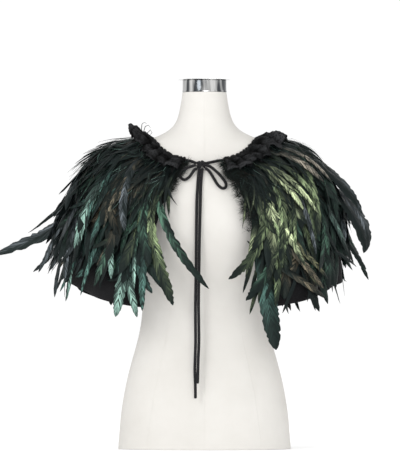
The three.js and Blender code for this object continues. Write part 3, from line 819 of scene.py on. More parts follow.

# %% [markdown]
# ## The cape's cloth
# The cape itself is three panels of black cloth, two fronts and a back, sewn at the shoulders. Each is a
# thin shell on the cape's surface. A cloth simulation could drape it, but the tapes and feathers are laid
# on the same formula and would have to follow it. So its main creases are placed one by one: they run up from
# the hem and die out below the shoulder.

# %% Cloth shells
SHOULDER_SEAM = math.radians(95)
SEAM_GAP = 0.0006                # radians from the shoulder line to the edge of each panel
CLOTH_INSIDE = 0.5 * MM
CLOTH_ROUND, CLOTH_DOWN = 0.26, 0.37     # metres of cloth in a radian and in the whole fall, for the weave
CREASES = [                     # angle in degrees, share where it starts, half width in degrees, depth in mm
    (-84, 0.45, 5, 4.0), (-66, 0.55, 4, 3.2), (-52, 0.40, 6, 4.5), (-37, 0.62, 3.5, 3.0),
    (33, 0.50, 5, 3.6), (47, 0.62, 3.5, 3.4), (60, 0.42, 6, 4.4), (78, 0.55, 4.5, 3.6),
    (104, 0.40, 6, 4.2), (126, 0.52, 5, 4.0), (149, 0.45, 6, 4.6), (172, 0.58, 5, 3.8),
    (196, 0.42, 6, 4.4), (219, 0.55, 5, 3.8), (243, 0.45, 6, 4.4), (262, 0.55, 4, 3.4),
]


def crease_height(angle, along):
    """How far the creases lift the cloth off its plain surface."""
    height = np.zeros(np.broadcast(angle, along).shape)
    for middle, start, wide, deep in CREASES:
        grown = np.clip((along - start) / (1 - start), 0, 1) ** 1.4
        apart = degrees_from(angle, middle) - 1.5 * np.sin(6 * along)
        height += deep * MM * grown * np.exp(-(apart / wide) ** 2)
    return height


def shell_piece(name, outer, inner, uv, material, slot, node):
    """A closed thin shell between two grids of points with the same rows and columns."""
    rows, columns = outer.shape[:2]
    points = np.vstack([outer.reshape(-1, 3), inner.reshape(-1, 3)])
    far = rows * columns
    faces = []
    for r in range(rows - 1):
        for c in range(columns - 1):
            a, d = r * columns + c, (r + 1) * columns + c
            faces.append((a, d, d + 1, a + 1))
            faces.append((far + a, far + a + 1, far + d + 1, far + d))
    rim = ([(0, c) for c in range(columns)] + [(r, columns - 1) for r in range(1, rows)]
           + [(rows - 1, c) for c in range(columns - 2, -1, -1)] + [(r, 0) for r in range(rows - 2, 0, -1)])
    rim = [r * columns + c for r, c in rim]
    for here, there in zip(rim, rim[1:] + rim[:1]):
        faces.append((here, there, far + there, far + here))
    both_uv = np.vstack([uv.reshape(-1, 2)] * 2)
    piece = new_piece(name, points, faces, material, slot, both_uv, node)
    print(name, f"surface {sum(p.area for p in piece.data.polygons) / 2:.4f} m2")
    return piece


def cloth_panel(node, side):
    """One panel: side -1 and 1 are the fronts, and 0 is the back."""
    rows, columns = 60, 130 if side == 0 else 70
    along = np.linspace(0, 1, rows)[:, None]
    share = np.linspace(0, 1, columns)[None, :]
    if side == 0:
        first, last = SHOULDER_SEAM + SEAM_GAP, math.tau - SHOULDER_SEAM - SEAM_GAP
    else:
        first, last = edge_angle(along), SHOULDER_SEAM - SEAM_GAP
        if side < 0:
            first, last = -last, -first
    angle = first + (last - first) * share + 0 * along
    along = along + 0 * angle
    lifted = crease_height(angle, along)
    outer = over_cape(angle, along, CLOTH_THICK + lifted)
    inner = over_cape(angle, along, CLOTH_INSIDE + lifted)
    uv = np.stack([angle * CLOTH_ROUND, along * CLOTH_DOWN], axis=-1)
    return shell_piece("cloth_" + node, outer, inner, uv, CAPE_CLOTH, "cape_cloth", node)


panels = {
    node: cloth_panel(node, side)
    for node, side in (("cape_front_left", -1), ("cape_front_right", 1), ("cape_back", 0))
}

# %% [markdown]
# ## The drawstring casing
# Round the neck the cloth is turned over into a narrow tube for the drawstring. Pulling the string
# gathers it, so it is finely puckered, and its upper edge is a row of small uneven bumps. It is a tube
# of soft oval sections, each a little different from the next.

# %% Casing
CASING_TOP, CASING_BOTTOM, CASING_THICK = -0.045, -0.003, 5 * MM
CASING_SECTION = [              # share of the way down and share of the thickness outwards
    (0.0, 0.25), (0.06, 0.55), (0.2, 0.8), (0.5, 1.0), (0.75, 0.8),
    (0.9, 0.5), (1.0, 0.12), (0.75, 0.02), (0.5, 0.0), (0.25, 0.02),
]
CASING_COLUMNS, CASING_PUCKERS, CASING_RIDGES = 700, 30, 130
soft = np.random.default_rng(3)


def uneven_wave(share, count, jitter, draws):
    """The phase of a wave whose lengths differ, for shares from 0 to 1."""
    knots = np.linspace(0, 1, count + 1)
    phase = np.arange(count + 1) + np.concatenate([[0], draws.uniform(-jitter, jitter, count - 1), [0]])
    return math.tau * np.interp(share, knots, phase)


def soft_noise(u, v, cell, draws):
    """Smooth random heights from -1 to 1 over places u and v, with lumps about a cell wide."""
    x, y = u / cell, v / cell
    x, y = x - x.min(), y - y.min()
    lattice = draws.uniform(-1, 1, (int(x.max()) + 3, int(y.max()) + 3))
    i, j = x.astype(int), y.astype(int)
    fx, fy = x - i, y - j
    fx, fy = fx * fx * (3 - 2 * fx), fy * fy * (3 - 2 * fy)
    near = lattice[i, j] * (1 - fx) + lattice[i + 1, j] * fx
    far = lattice[i, j + 1] * (1 - fx) + lattice[i + 1, j + 1] * fx
    return near * (1 - fy) + far * fy


def make_casing():
    """The casing: a tube of soft sections, each read off the cape's surface."""
    share = np.linspace(0, 1, CASING_COLUMNS)
    start = edge_angle((CASING_TOP + CASING_BOTTOM) / 2)
    angle = (start + (math.tau - 2 * start) * share)[:, None]
    pucker = (1.6 * np.abs(np.sin(uneven_wave(share, CASING_PUCKERS, 0.38, soft))) ** 0.7 - 1)[:, None]
    fine = np.sin(uneven_wave(share, CASING_RIDGES, 0.4, soft))[:, None]
    down, out = np.array(CASING_SECTION).T[:, None, :]
    upper = np.clip(1 - down / 0.3, 0, 1)
    bumps = upper * (0.002 + 0.008 * pucker + 0.0015 * fine)
    along = CASING_TOP + (CASING_BOTTOM - CASING_TOP) * down - bumps
    away = out * (CASING_THICK + 1.0 * MM * pucker + 0.4 * MM * fine) + 0.1 * MM
    points = over_cape(angle + 0 * down, along, away)
    uv = np.stack([share[:, None] * 0.9 + 0 * down, down * 0.03 + 0 * angle], axis=-1)
    faces = tube_faces(CASING_COLUMNS, len(CASING_SECTION))
    piece = new_piece("casing_gathered", points.reshape(-1, 3), faces, COLLAR_CLOTH, "collar_cloth",
                      uv.reshape(-1, 2), "collar_casing")
    # painted shade: the stored fold depth is darker in the hollows of the puckers and ridges
    add_values(piece, "fold_shade", np.clip(0.45 + 0.35 * pucker + 0.2 * fine + 0 * down, 0.05, 1))
    return piece


casing = make_casing()

# %% [markdown]
# ## The ruffle
# A strip about twice as long as the neckline is gathered onto the casing and falls over the feathers'
# roots. Its free edge has more length than the line it hangs on, so it stands in waves that lean over
# sideways, and it is soft enough to crumple. On the left shoulder it is turned up, and on the right one it
# hangs lower. The waves differ in length and depth, the edge has the small scallops of a crocheted border,
# and it curls under.

# %% Ruffle
RUFFLE_WAVES, RUFFLE_SCALLOPS = 33, 130
RUFFLE_FALL, RUFFLE_FRONT_FALL = 46 * MM, 30 * MM
RUFFLE_STAND, RUFFLE_WAVE, RUFFLE_LEAN = 7 * MM, 6 * MM, 6 * MM
RUFFLE_LEFT_FLIP, RUFFLE_RIGHT_FLIP = 13 * MM, -7 * MM
RUFFLE_THICK = 1.0 * MM
RUFFLE_COLUMNS, RUFFLE_ROWS = RUFFLE_WAVES * 26, 28
SIZE_KNOTS, LENGTH_KNOTS = 46, 30        # places round the neck where the waves' size and length are drawn
CRUMPLES_MM = ((15, 5.2), (7.5, 3.4), (4.2, 1.9))        # width and height of the lumps


def turned_up(angle):
    """How far the ruffle is turned up on a shoulder."""
    flip = np.where(np.sin(angle) < 0, RUFFLE_LEFT_FLIP, RUFFLE_RIGHT_FLIP)
    return flip * np.abs(np.sin(angle)) ** 6


def make_ruffle():
    """The ruffle: a thin shell in waves, read off the cape's surface."""
    share = np.linspace(0, 1, RUFFLE_COLUMNS)[None, :]
    down = np.linspace(0, 1, RUFFLE_ROWS)[:, None]
    start = edge_angle(0.0) + 0.01
    angle = start + (math.tau - 2 * start) * share
    phase = uneven_wave(share[0], RUFFLE_WAVES, 0.42, soft)[None, :]
    size = np.interp(share, np.linspace(0, 1, SIZE_KNOTS), soft.uniform(0.25, 1.6, SIZE_KNOTS))
    length = np.interp(share, np.linspace(0, 1, LENGTH_KNOTS), soft.uniform(0.80, 1.08, LENGTH_KNOTS))
    neck = on_cape(angle, np.full_like(angle, 0.02))
    turned = turned_up(angle)
    scallop = 1.3 * MM * np.abs(np.sin(uneven_wave(share[0], RUFFLE_SCALLOPS, 0.2, soft)))[None, :]
    top = (CASING_TOP + CASING_BOTTOM) / 2
    fall = RUFFLE_FALL + (RUFFLE_FRONT_FALL - RUFFLE_FALL) * np.clip(np.cos(angle), 0, 1)
    drop = down * (fall * length - turned) + scallop * down**4
    along = top + drop / neck["per_along"]
    leaning = phase + 0.8 * np.sin(3 * down + 9 * share * math.pi)
    swing = np.sin(leaning) * size * 1.5 * RUFFLE_WAVE * down**0.6
    sideways = -np.cos(leaning) * size * RUFFLE_LEAN * down**1.2
    walked, fallen = share * 0.75 + 0 * down, down * RUFFLE_FALL + 0 * share
    lumps = sum(high * MM * soft_noise(walked, fallen, wide * MM, soft) for wide, high in CRUMPLES_MM)
    grown = np.clip(down * 3, 0, 1)
    curl = 5 * MM * np.clip((down - 0.72) / 0.28, 0, 1) ** 2
    height = (CASING_THICK + 1.2 * MM + RUFFLE_STAND * down**0.5 + swing + turned * down**1.5
              + RUFFLE_WAVE * down + (lumps + 1.5 * MM) * grown - curl)
    moved = angle + sideways / neck["per_angle"]
    outer = over_cape(moved, along, height + RUFFLE_THICK)
    inner = over_cape(moved, along, height)
    uv = np.stack([share * 1.5 + 0 * down, down * 0.05 + 0 * share], axis=-1)
    piece = shell_piece("ruffle_waves", outer, inner, uv, COLLAR_CLOTH, "collar_cloth", "collar_ruffle")
    # painted shade: darker in the wave hollows and the crumple hollows; a painted highlight makes the curled
    # free edge lighter
    fold_shade = 0.40 + 0.030 * swing / MM + 0.095 * (lumps / MM) * grown + 0.25 * down**6
    add_values(piece, "fold_shade", np.tile(np.clip(fold_shade, 0.03, 1.0).ravel(), 2))
    return piece


ruffle = make_ruffle()

# %% [markdown]
# ## Feathers
# Each feather is a flat vane on a shaft, with barbs that slant towards the tip. Rooster tail feathers
# are broad straps, and hackles are narrow and pointed. Particle hair would be quick, but it can't carry
# barbs or be exported, so each feather is a small closed mesh: a row of flat slices along a line that
# starts at its tape, runs down over the cape and lifts off it.

# %% Feather rows
# Each row has its root lines, the feathers in a line, their reach and its spread in mm, the shares of hackles
# and of thin feathers, the line of those listed one by one, and how far off the cloth they start, in mm. Then
# come how steeply they stand off it and how much shorter they are at the short places.
FEATHER_ROWS = {
    "feathers_hem": {"lines": (0.66, 0.60, 0.52), "count": 56, "reach": 150, "spread": 34,
                     "hackles": 0.05, "thin": 0.35, "own": 0.60, "base": 3.7, "slope": 0.14, "short": 0.44},
    "feathers_lower": {"lines": (0.46, 0.41, 0.34), "count": 56, "reach": 174, "spread": 38,
                       "hackles": 0.10, "thin": 0.30, "own": 0.41, "base": 3.7, "slope": 0.13, "short": 0.22},
    "feathers_upper": {"lines": (0.28, 0.22, 0.17), "count": 58, "reach": 172, "spread": 40,
                       "hackles": 0.35, "thin": 0.35, "own": 0.22, "base": 3.7, "slope": 0.11, "short": 0.0},
    "feathers_collar": {"lines": (0.13, 0.095, 0.055, 0.01), "count": 84, "reach": 132, "spread": 38,
                        "hackles": 1.0, "thin": 1.0, "own": 0.055, "base": 4.6, "slope": 0.10, "short": 0.0},
}
STRAY_COLUMNS = ("angle", "reach", "width", "sway", "lift", "free", "turn", "power")
# Strays leave the cape, hang wide or cross the front. A row ends with a tint, the strength of its painted
# sheen and the share of the length where it is brightest.
STRAY_FEATHERS = {
    "feathers_hem": [
        (-88, 135, 18, 0, 46, 0.4, -65, 2, "slate", 0.4, 0.7),
        (-30, 112, 19, 40, 2, 0.15, 0, 2, "teal", 0.5, 0.6),
        (30, 126, 24, -66, 4, 0.1, 0, 2, "green", 0.6, 0.4),
        (80, 128, 14, 4, 34, 0.4, 50, 2, "ink", 0.2, 0.5),
        (84, 150, 16, 4, 26, 0.3, 60, 1.2, "green", 0.3, 0.5),
    ],
    "feathers_lower": [
        (-86, 186, 34, 0, 122, 0.5, -88, 2, "slate", 0.6, 0.7),
        (-25.5, 198, 27, 66, 0, 0.1, 0, 1.2, "moss", 1.0, 0.2),
        (28, 148, 24, -90, 4, 0.1, 0, 2, "moss", 1.0, 0.22),
        (86, 176, 34, -6, 46, 0.2, 55, 0.7, "slate", 0.6, 0.6),
        (-86, 214, 17, 0, 24, 0.4, -72, 2, "slate", 0.7, 0.75),
        (80, 170, 26, 0, 36, 0.25, 50, 0.9, "ink", 0.4, 0.6),
    ],
    "feathers_upper": [
        (-80, 212, 8, 6, 66, 0.6, -60, 2, "ink", 0.1, 0.5),
        (-95, 196, 8, -4, 48, 0.6, -60, 2, "ink", 0.1, 0.5),
        (-27, 228, 20, 128, -4, 0.05, 0, 1.3, "green", 1.0, 0.3),
        (80, 158, 20, 0, 34, 0.4, 50, 1.4, "ink", 0.3, 0.6),
        (90, 168, 24, 4, 34, 0.4, 50, 1.2, "slate", 0.4, 0.7),
        (84, 176, 24, 0, 34, 0.35, 50, 1.0, "slate", 0.35, 0.8),
    ],
    "feathers_collar": [],
}
NAMED_COLUMNS = ("angle", "reach", "width", "lean")
# These lie on the cape and stand out in the photo. Their rows end in the same three values.
NAMED_FEATHERS = {
    "feathers_hem": [
        (-33, 169, 27, -6, "pale", 0.85, 0.75), (-38, 171, 19, 15, "pale", 0.8, 0.75),
        (-65, 181, 15, -5, "pale", 0.5, 0.8), (-56, 176, 13, -22, "teal", 0.6, 0.8),
        (45, 179, 10, 49, "ink", 0.2, 0.5), (49, 177, 9, -24, "ink", 0.2, 0.5),
        (39, 169, 11, 11, "ink", 0.2, 0.5), (19, 205, 17, 46, "bronze", 0.45, 0.75),
        (23, 231, 40, 8, "teal", 0.5, 0.42),
    ],
    "feathers_lower": [
        (-26, 213, 17, 0, "teal", 0.6, 0.85), (-46, 170, 17, 10, "pale", 0.8, 0.8),
        (-31, 179, 10, 2, "pale", 0.9, 0.8), (-44, 220, 13, -11, "teal", 0.7, 0.8),
        (24, 222, 18, 31, "bronze", 0.8, 0.8), (29, 205, 17, 24, "olive", 0.75, 0.75),
        (26, 214, 15, 34, "olive", 0.7, 0.7), (62, 170, 17, 15, "pale", 0.45, 0.6),
        (-37, 190, 20, -12, "green", 0.6, 0.7),
    ],
    "feathers_upper": [
        (-61, 218, 32, -1, "pale", 1.2, 0.78), (-36, 194, 29, 16, "green", 0.7, 0.5),
        (36, 226, 25, -10, "lime", 0.75, 0.36), (69, 179, 25, -18, "moss", 0.5, 0.5),
        (26, 215, 17, 18, "lime", 0.7, 0.62), (51, 200, 13, -2, "slate", 1.0, 0.8),
        (-48, 196, 17, -4, "teal", 0.6, 0.6), (44, 190, 22, -14, "moss", 0.7, 0.45),
        (-27, 190, 19, 4, "moss", 0.7, 0.55), (31, 200, 19, 2, "moss", 0.7, 0.6),
    ],
    "feathers_collar": [
        (-57, 195, 21, 22, "slate", 0.8, 0.75), (-48, 191, 9, 2, "bronze", 1.0, 0.8),
        (-53, 132, 9, 13, "bronze", 1.0, 0.8), (41, 156, 15, 9, "lime", 0.75, 0.75),
        (43, 180, 13, 14, "lime", 0.7, 0.75), (58, 142, 18, 14, "tan", 0.8, 0.66),
        (50, 168, 13, 10, "moss", 1.0, 0.78), (65, 150, 12, 12, "tan", 0.7, 0.75),
    ],
}
# Where the cloth's hem shows under the feathers: angle and spread in degrees, and how much it shows
SHORT_PLACES = [(-45, 20, 1), (38, 8, 0.9), (86, 18, 0.8), (-126, 20, 0.8)]
LEFT_PUFF = 17                   # mm that the tips stand off more at the left shoulder
LEFT_SHOULDER = (-84, 26)        # its middle and its spread in degrees
FEATHER_START = 0.035            # radians from the front edge to the first feather
THIN_WIDTHS_MM, BROAD_WIDTHS_MM = (8, 14), (18, 27)
PLAIN_FREE, PLAIN_POWER = 0.35, 2.0      # where along it a feather starts to lift, and how sharply
PROFILES = {
    "tail": ((0, 0.03, 0.10, 0.25, 0.45, 0.62, 0.80, 0.91, 0.97, 1),
             (0.10, 0.30, 0.62, 0.84, 0.95, 1.00, 0.88, 0.64, 0.36, 0.05)),
    "hackle": ((0, 0.03, 0.10, 0.25, 0.42, 0.62, 0.80, 0.92, 1),
               (0.12, 0.42, 0.82, 1.00, 0.96, 0.78, 0.52, 0.28, 0.03)),
}


def near_angle(angle, middle, wide):
    """1 at an angle given in degrees, falling to nothing a few widths away."""
    return np.exp(-(degrees_from(angle, middle) / wide) ** 2)


def draw_line(row, line, draws):
    """Random but seeded values for the feathers of one root line, as arrays."""
    count = row["count"]
    start = edge_angle(line) + FEATHER_START
    place = (np.arange(count) + 0.5 + draws.uniform(-0.35, 0.35, count)) / count
    angle = start + (math.tau - 2 * start) * place
    at_side = np.abs(np.sin(angle)) ** 6
    puff = LEFT_PUFF * near_angle(angle, *LEFT_SHOULDER)
    short = 1 - row["short"] * sum(share * near_angle(angle, at, wide) for at, wide, share in SHORT_PLACES)
    hackle = draws.random(count) < row["hackles"]
    thin = draws.random(count) < row["thin"]
    widths = np.where(thin, draws.uniform(*THIN_WIDTHS_MM, count), draws.uniform(*BROAD_WIDTHS_MM, count))
    return {
        "angle": angle,
        "along": line + draws.uniform(-0.012, 0.012, count),
        "reach": (row["reach"] + row["spread"] * draws.uniform(-1, 1, count) - 10 * at_side) * short * MM,
        "width": np.where(hackle & thin, widths * 0.72, widths) * MM,
        "hackle": hackle.astype(float),
        "lean": draws.normal(0, 0.15, count),
        "bow": draws.normal(0, 0.34, count),
        "sway": draws.normal(0, 5, count) * MM,
        "lift": (draws.uniform(-2, 9 - 5 * row["hackles"], count) + puff) * MM,
        "free": np.full(count, PLAIN_FREE),
        "turn": np.radians(draws.normal(0, 1, count) * (15 + 26 * at_side)),
        "rest": draws.uniform(-0.8, 4.2, count) * MM,
        "base": np.full(count, row["base"] * MM),
        "slope": np.full(count, row["slope"]),
        "power": np.full(count, PLAIN_POWER),
    }


def draw_row(row, draws):
    """The same for all the root lines of a row, one after another."""
    lines = [draw_line(row, line, draws) for line in row["lines"]]
    return {key: np.concatenate([line[key] for line in lines]) for key in lines[0]}


def chosen_feathers(rows, columns, row, rest):
    """Values for feathers that are listed one by one: what their table doesn't give is plain."""
    count = len(rows)
    numbers = np.array([values[:len(columns)] for values in rows], float)
    values = dict(zip(columns, numbers.T))
    plain = np.zeros(count)
    return {
        "angle": np.mod(np.radians(values["angle"]), math.tau),
        "along": np.full(count, row["own"]),
        "reach": values["reach"] * MM,
        "width": values["width"] * MM,
        "hackle": plain,
        "lean": np.radians(values.get("lean", plain)),
        "bow": plain,
        "sway": values.get("sway", plain) * MM,
        "lift": values.get("lift", plain) * MM,
        "free": values.get("free", plain + PLAIN_FREE),
        "turn": np.radians(values.get("turn", plain)),
        "rest": plain + rest,
        "base": plain + row["base"] * MM,
        "slope": plain + row["slope"],
        "power": values.get("power", plain + PLAIN_POWER),
    }


# %% Feather lines
LINE_POWER = 0.92                # brings the slices a little closer together towards the tip
DROOP, DROOP_START = 0.013, 0.62     # how far the tips of plumes at the right hang back in, and from where
DROOP_LIFT_MM, DROOP_MOST_MM = 30, 16    # the lift at which a plume starts to droop, and what counts past it


def feather_lines(values, rows):
    """Middle line, directions along, aside and outwards of each feather at each row, and its place."""
    shares = np.linspace(0, 1, rows) ** LINE_POWER
    count = len(values["angle"])
    angle, along = values["angle"], values["along"]
    middle, rounds = np.zeros((count, rows, 3)), np.zeros((count, rows, 3))
    places = np.zeros((count, rows, 2))
    walked, swayed = 0.0, np.zeros(count)
    drooping = DROOP * np.clip(values["lift"] / MM - DROOP_LIFT_MM, 0, DROOP_MOST_MM)
    drooping = np.where(np.sin(angle) > 0, drooping, 0)
    for i, share in enumerate(shares):
        pull = np.clip((share - values["free"]) / (1 - values["free"]), 0, 1) ** values["power"]
        step = (share - walked) * values["reach"]
        heading = values["lean"] + values["bow"] * share
        here = on_cape(angle, along)
        side_step = step * np.sin(heading) + (values["sway"] * pull - swayed)
        angle = angle + side_step / here["per_angle"]
        along = along + step * np.cos(heading) / here["per_along"]
        walked, swayed = share, values["sway"] * pull
        here = on_cape(angle, along)
        away = values["base"] + values["rest"] * min(1, share * 3) + values["slope"] * share * values["reach"]
        away = away + values["lift"] * pull - drooping * max(0, share - DROOP_START) ** 2
        middle[:, i] = here["point"] + here["out"] * away[:, None]
        rounds[:, i] = here["round"]
        places[:, i] = np.stack([np.mod(angle, math.tau), along], axis=1)
    forward = unit(np.gradient(middle, axis=1))
    aside = unit(rounds - forward * np.sum(rounds * forward, axis=-1, keepdims=True))
    outer = np.cross(forward, aside)
    late = np.clip((shares[None, :] - values["free"][:, None]) / (1 - values["free"][:, None]), 0, 1)
    turn = (values["turn"][:, None] * (0.25 + 0.75 * late))[..., None]
    turned_aside = aside * np.cos(turn) + outer * np.sin(turn)
    turned_outer = outer * np.cos(turn) - aside * np.sin(turn)
    return middle, forward, turned_aside, turned_outer, shares, places


# %% Feather meshes
TOP_ACROSS = (-1.0, -0.5, 0.0, 0.5, 1.0)
FINE_ACROSS = (-1.0, -0.8, -0.55, -0.3, -0.08, 0.0, 0.08, 0.3, 0.55, 0.8, 1.0)
SHAFT_HEIGHT, VANE_THICK = 0.45 * MM, 0.30 * MM
BARB_SLANT = 0.75                # how far a barb runs towards the tip for each step away from the shaft


def feather_mesh(values, rows, across, ragged, draws):
    """All the feathers of a group as one mesh, with where each point lies on its vane and on the cape."""
    middle, forward, aside, outer, shares, places = feather_lines(values, rows)
    count = len(values["angle"])
    tail = np.interp(shares, *PROFILES["tail"])
    hackle = np.interp(shares, *PROFILES["hackle"])
    half = (tail + (hackle - tail) * values["hackle"][:, None]) * values["width"][:, None] / 2
    notches = 1 - ragged * draws.random((2, count, rows)) ** 2.2
    ring = np.array(list(across) + [0.0])
    is_bottom = np.arange(len(ring)) == len(ring) - 1
    side = np.where(ring < 0, (half * notches[0])[..., None], (half * notches[1])[..., None])
    offset = ring * side
    camber = (0.10 + 0.20 * draws.random(count))[:, None, None]
    shaft = np.exp(-(ring / 0.12) ** 2) * SHAFT_HEIGHT * (1 - 0.8 * shares[None, :, None])
    lifted = -camber * ring**2 * half[..., None] + np.where(is_bottom, -VANE_THICK, shaft)
    slant = np.abs(offset) * BARB_SLANT * np.sin(math.pi * shares**0.7)[None, :, None]
    points = (
        middle[:, :, None]
        + aside[:, :, None] * offset[..., None]
        + outer[:, :, None] * lifted[..., None]
        + forward[:, :, None] * slant[..., None]
    )
    sides = len(ring)
    plain = tube_faces(rows, sides)
    each = np.array([face for face in plain if len(face) == 4], np.int64)
    firsts = np.arange(count) * rows * sides
    faces = (each[None] + firsts[:, None, None]).reshape(-1, 4).tolist()
    for lid in (face for face in plain if len(face) != 4):
        faces += (np.array(lid)[None] + firsts[:, None]).tolist()
    shape = offset.shape
    walked = (shares[None, :] * values["reach"][:, None])[..., None] + slant
    vane = np.stack([offset, np.broadcast_to(walked, shape)], axis=-1)
    share = np.stack([np.broadcast_to(ring, shape), np.broadcast_to(shares[None, :, None], shape)], axis=-1)
    place = np.broadcast_to(places[:, :, None], shape + (2,))
    owner = np.broadcast_to(np.arange(count)[:, None, None], shape)
    return {"points": points.reshape(-1, 3), "faces": faces, "vane": vane.reshape(-1, 2),
            "share": share.reshape(-1, 2), "place": place.reshape(-1, 2), "owner": owner.ravel()}


# %% [markdown]
# ## Colour and painted sheen of the feathers
# Rooster tail feathers are black with a green gloss that comes from fine layers in the barbs, so it
# shows only where a feather catches the light, in green, teal, bronze or slate. Here that gloss is a painted
# sheen in the base colour. A few broad places on the cape get more painted sheen than the rest. Each
# feather draws its tint from the nearest of them. Its painted sheen lies along a stretch of its length only,
# and on one half of its vane more than the other, as the highlight on a curved feather does.

# %% Tints and painted sheen
TINTS = {
    "ink": (0.014, 0.016, 0.020), "green": (0.078, 0.160, 0.112), "teal": (0.125, 0.265, 0.225),
    "pale": (0.34, 0.55, 0.47), "moss": (0.34, 0.44, 0.23), "lime": (0.74, 0.86, 0.50),
    "bronze": (0.19, 0.16, 0.11), "olive": (0.22, 0.22, 0.12), "tan": (0.42, 0.37, 0.30),
    "slate": (0.155, 0.175, 0.195),
}
# broad places of painted sheen on the cape
SHEEN_PLACES = [                 # angle in degrees, along, spread in degrees, spread along, tint, strength
    (-57, 0.50, 9, 0.12, "teal", 0.7), (-36, 0.98, 10, 0.14, "pale", 0.7),
    (-48, 0.85, 16, 0.15, "teal", 0.5), (-22, 0.52, 9, 0.16, "moss", 0.7),
    (-18, 0.74, 8, 0.18, "green", 0.75), (-74, 0.85, 12, 0.20, "slate", 0.9),
    (-42, 0.42, 9, 0.12, "bronze", 0.55), (-30, 0.62, 12, 0.16, "green", 0.6),
    (-66, 0.55, 16, 0.16, "green", 0.25), (20, 0.54, 8, 0.13, "lime", 0.75),
    (27, 0.64, 9, 0.14, "moss", 1.2), (26, 1.05, 8, 0.15, "teal", 0.5), (43, 0.38, 8, 0.09, "lime", 0.45),
    (53, 0.46, 9, 0.13, "moss", 0.5), (66, 0.42, 10, 0.12, "green", 0.6),
    (70, 0.26, 8, 0.08, "bronze", 0.3), (46, 0.82, 9, 0.12, "bronze", 0.6),
    (38, 0.64, 10, 0.14, "moss", 0.7), (60, 0.66, 12, 0.18, "green", 0.7),
    (84, 0.60, 9, 0.22, "slate", 0.4), (-88, 0.70, 10, 0.22, "slate", 0.9),
    (125, 0.50, 14, 0.14, "green", 0.6), (150, 0.80, 12, 0.15, "teal", 0.55),
    (172, 0.46, 13, 0.13, "moss", 0.5), (196, 0.78, 12, 0.15, "green", 0.6),
    (222, 0.50, 12, 0.14, "teal", 0.5), (248, 0.84, 12, 0.15, "bronze", 0.45),
    (108, 0.88, 12, 0.16, "teal", 0.4),
]
QUIET_TINTS, QUIET_CHANCES = ("green", "slate", "teal", "bronze"), (0.45, 0.25, 0.2, 0.1)
QUIET_LIMIT = 0.06


def sheen_weights(places):
    """How strongly each sheen place shows at the given places on the cape."""
    angle, along = places[..., 0], places[..., 1]
    weights = []
    for middle, at, wide, tall, _, strength in SHEEN_PLACES:
        weights.append(strength * near_angle(angle, middle, wide) * np.exp(-((along - at) / tall) ** 2))
    return np.stack(weights, axis=-1)


def lit_stretch(parts, centres, draws):
    """For each point, how much of its feather's painted sheen it has: a stretch of the length, one half more.
    """
    count = len(centres)
    owner, across, share = parts["owner"], parts["share"][:, 0], parts["share"][:, 1]
    centre, spread = centres[owner], draws.uniform(0.14, 0.30, count)[owner]
    bright_side = draws.choice((-1, 1), count)[owner]
    other_half = draws.uniform(0.2, 0.8, count)[owner]
    half = np.where(across * bright_side > 0, 1.0, other_half)
    edge = 1 - 0.55 * np.abs(across) ** 3
    return np.exp(-((share - centre) / spread) ** 2) * half * edge


def feather_colours(parts, count, draws):
    """A tint and a painted sheen for each point of a group of feathers that are drawn at random."""
    owner = parts["owner"]
    weights = sheen_weights(parts["place"])
    totals = np.zeros((count, len(SHEEN_PLACES)))
    np.add.at(totals, owner, weights)
    totals /= len(owner) // count
    palette = np.array([TINTS[tint] for *_, tint, _ in SHEEN_PLACES])
    odds = totals**2 + 1e-6
    chosen = np.array([draws.choice(len(SHEEN_PLACES), p=row / row.sum()) for row in odds])
    tint = palette[chosen]
    quiet = totals.max(axis=1) < QUIET_LIMIT
    quiet_palette = np.array([TINTS[name] for name in QUIET_TINTS])
    tint[quiet] = quiet_palette[draws.choice(len(QUIET_TINTS), quiet.sum(), p=QUIET_CHANCES)]
    tint = tint * draws.uniform(0.75, 1.2, (count, 1))
    own = draws.uniform(0.2, 1.6, count)[owner]
    faint = 0.75 * draws.random(count)[owner] ** 2
    away_from_neck = np.clip((parts["place"][:, 1] - 0.24) / 0.28, 0.1, 1)
    lit = lit_stretch(parts, draws.uniform(0.40, 0.85, count), draws)
    painted_sheen = (np.clip(weights.max(axis=1), 0, 1) * own + faint * away_from_neck) * lit
    return np.concatenate([tint[owner], painted_sheen[:, None]], axis=1)


def chosen_colours(parts, rows, draws):
    """The same for feathers listed one by one, from the tint, strength and bright place that end their rows.
    """
    owner = parts["owner"]
    tint = np.array([TINTS[row[-3]] for row in rows])
    strength, centres = np.array([row[-2:] for row in rows]).T
    lit = lit_stretch(parts, centres, draws)
    painted_sheen = strength[owner] * (0.12 * np.sin(math.pi * parts["share"][:, 1]) + 1.25 * lit)
    return np.concatenate([tint[owner], painted_sheen[:, None]], axis=1)


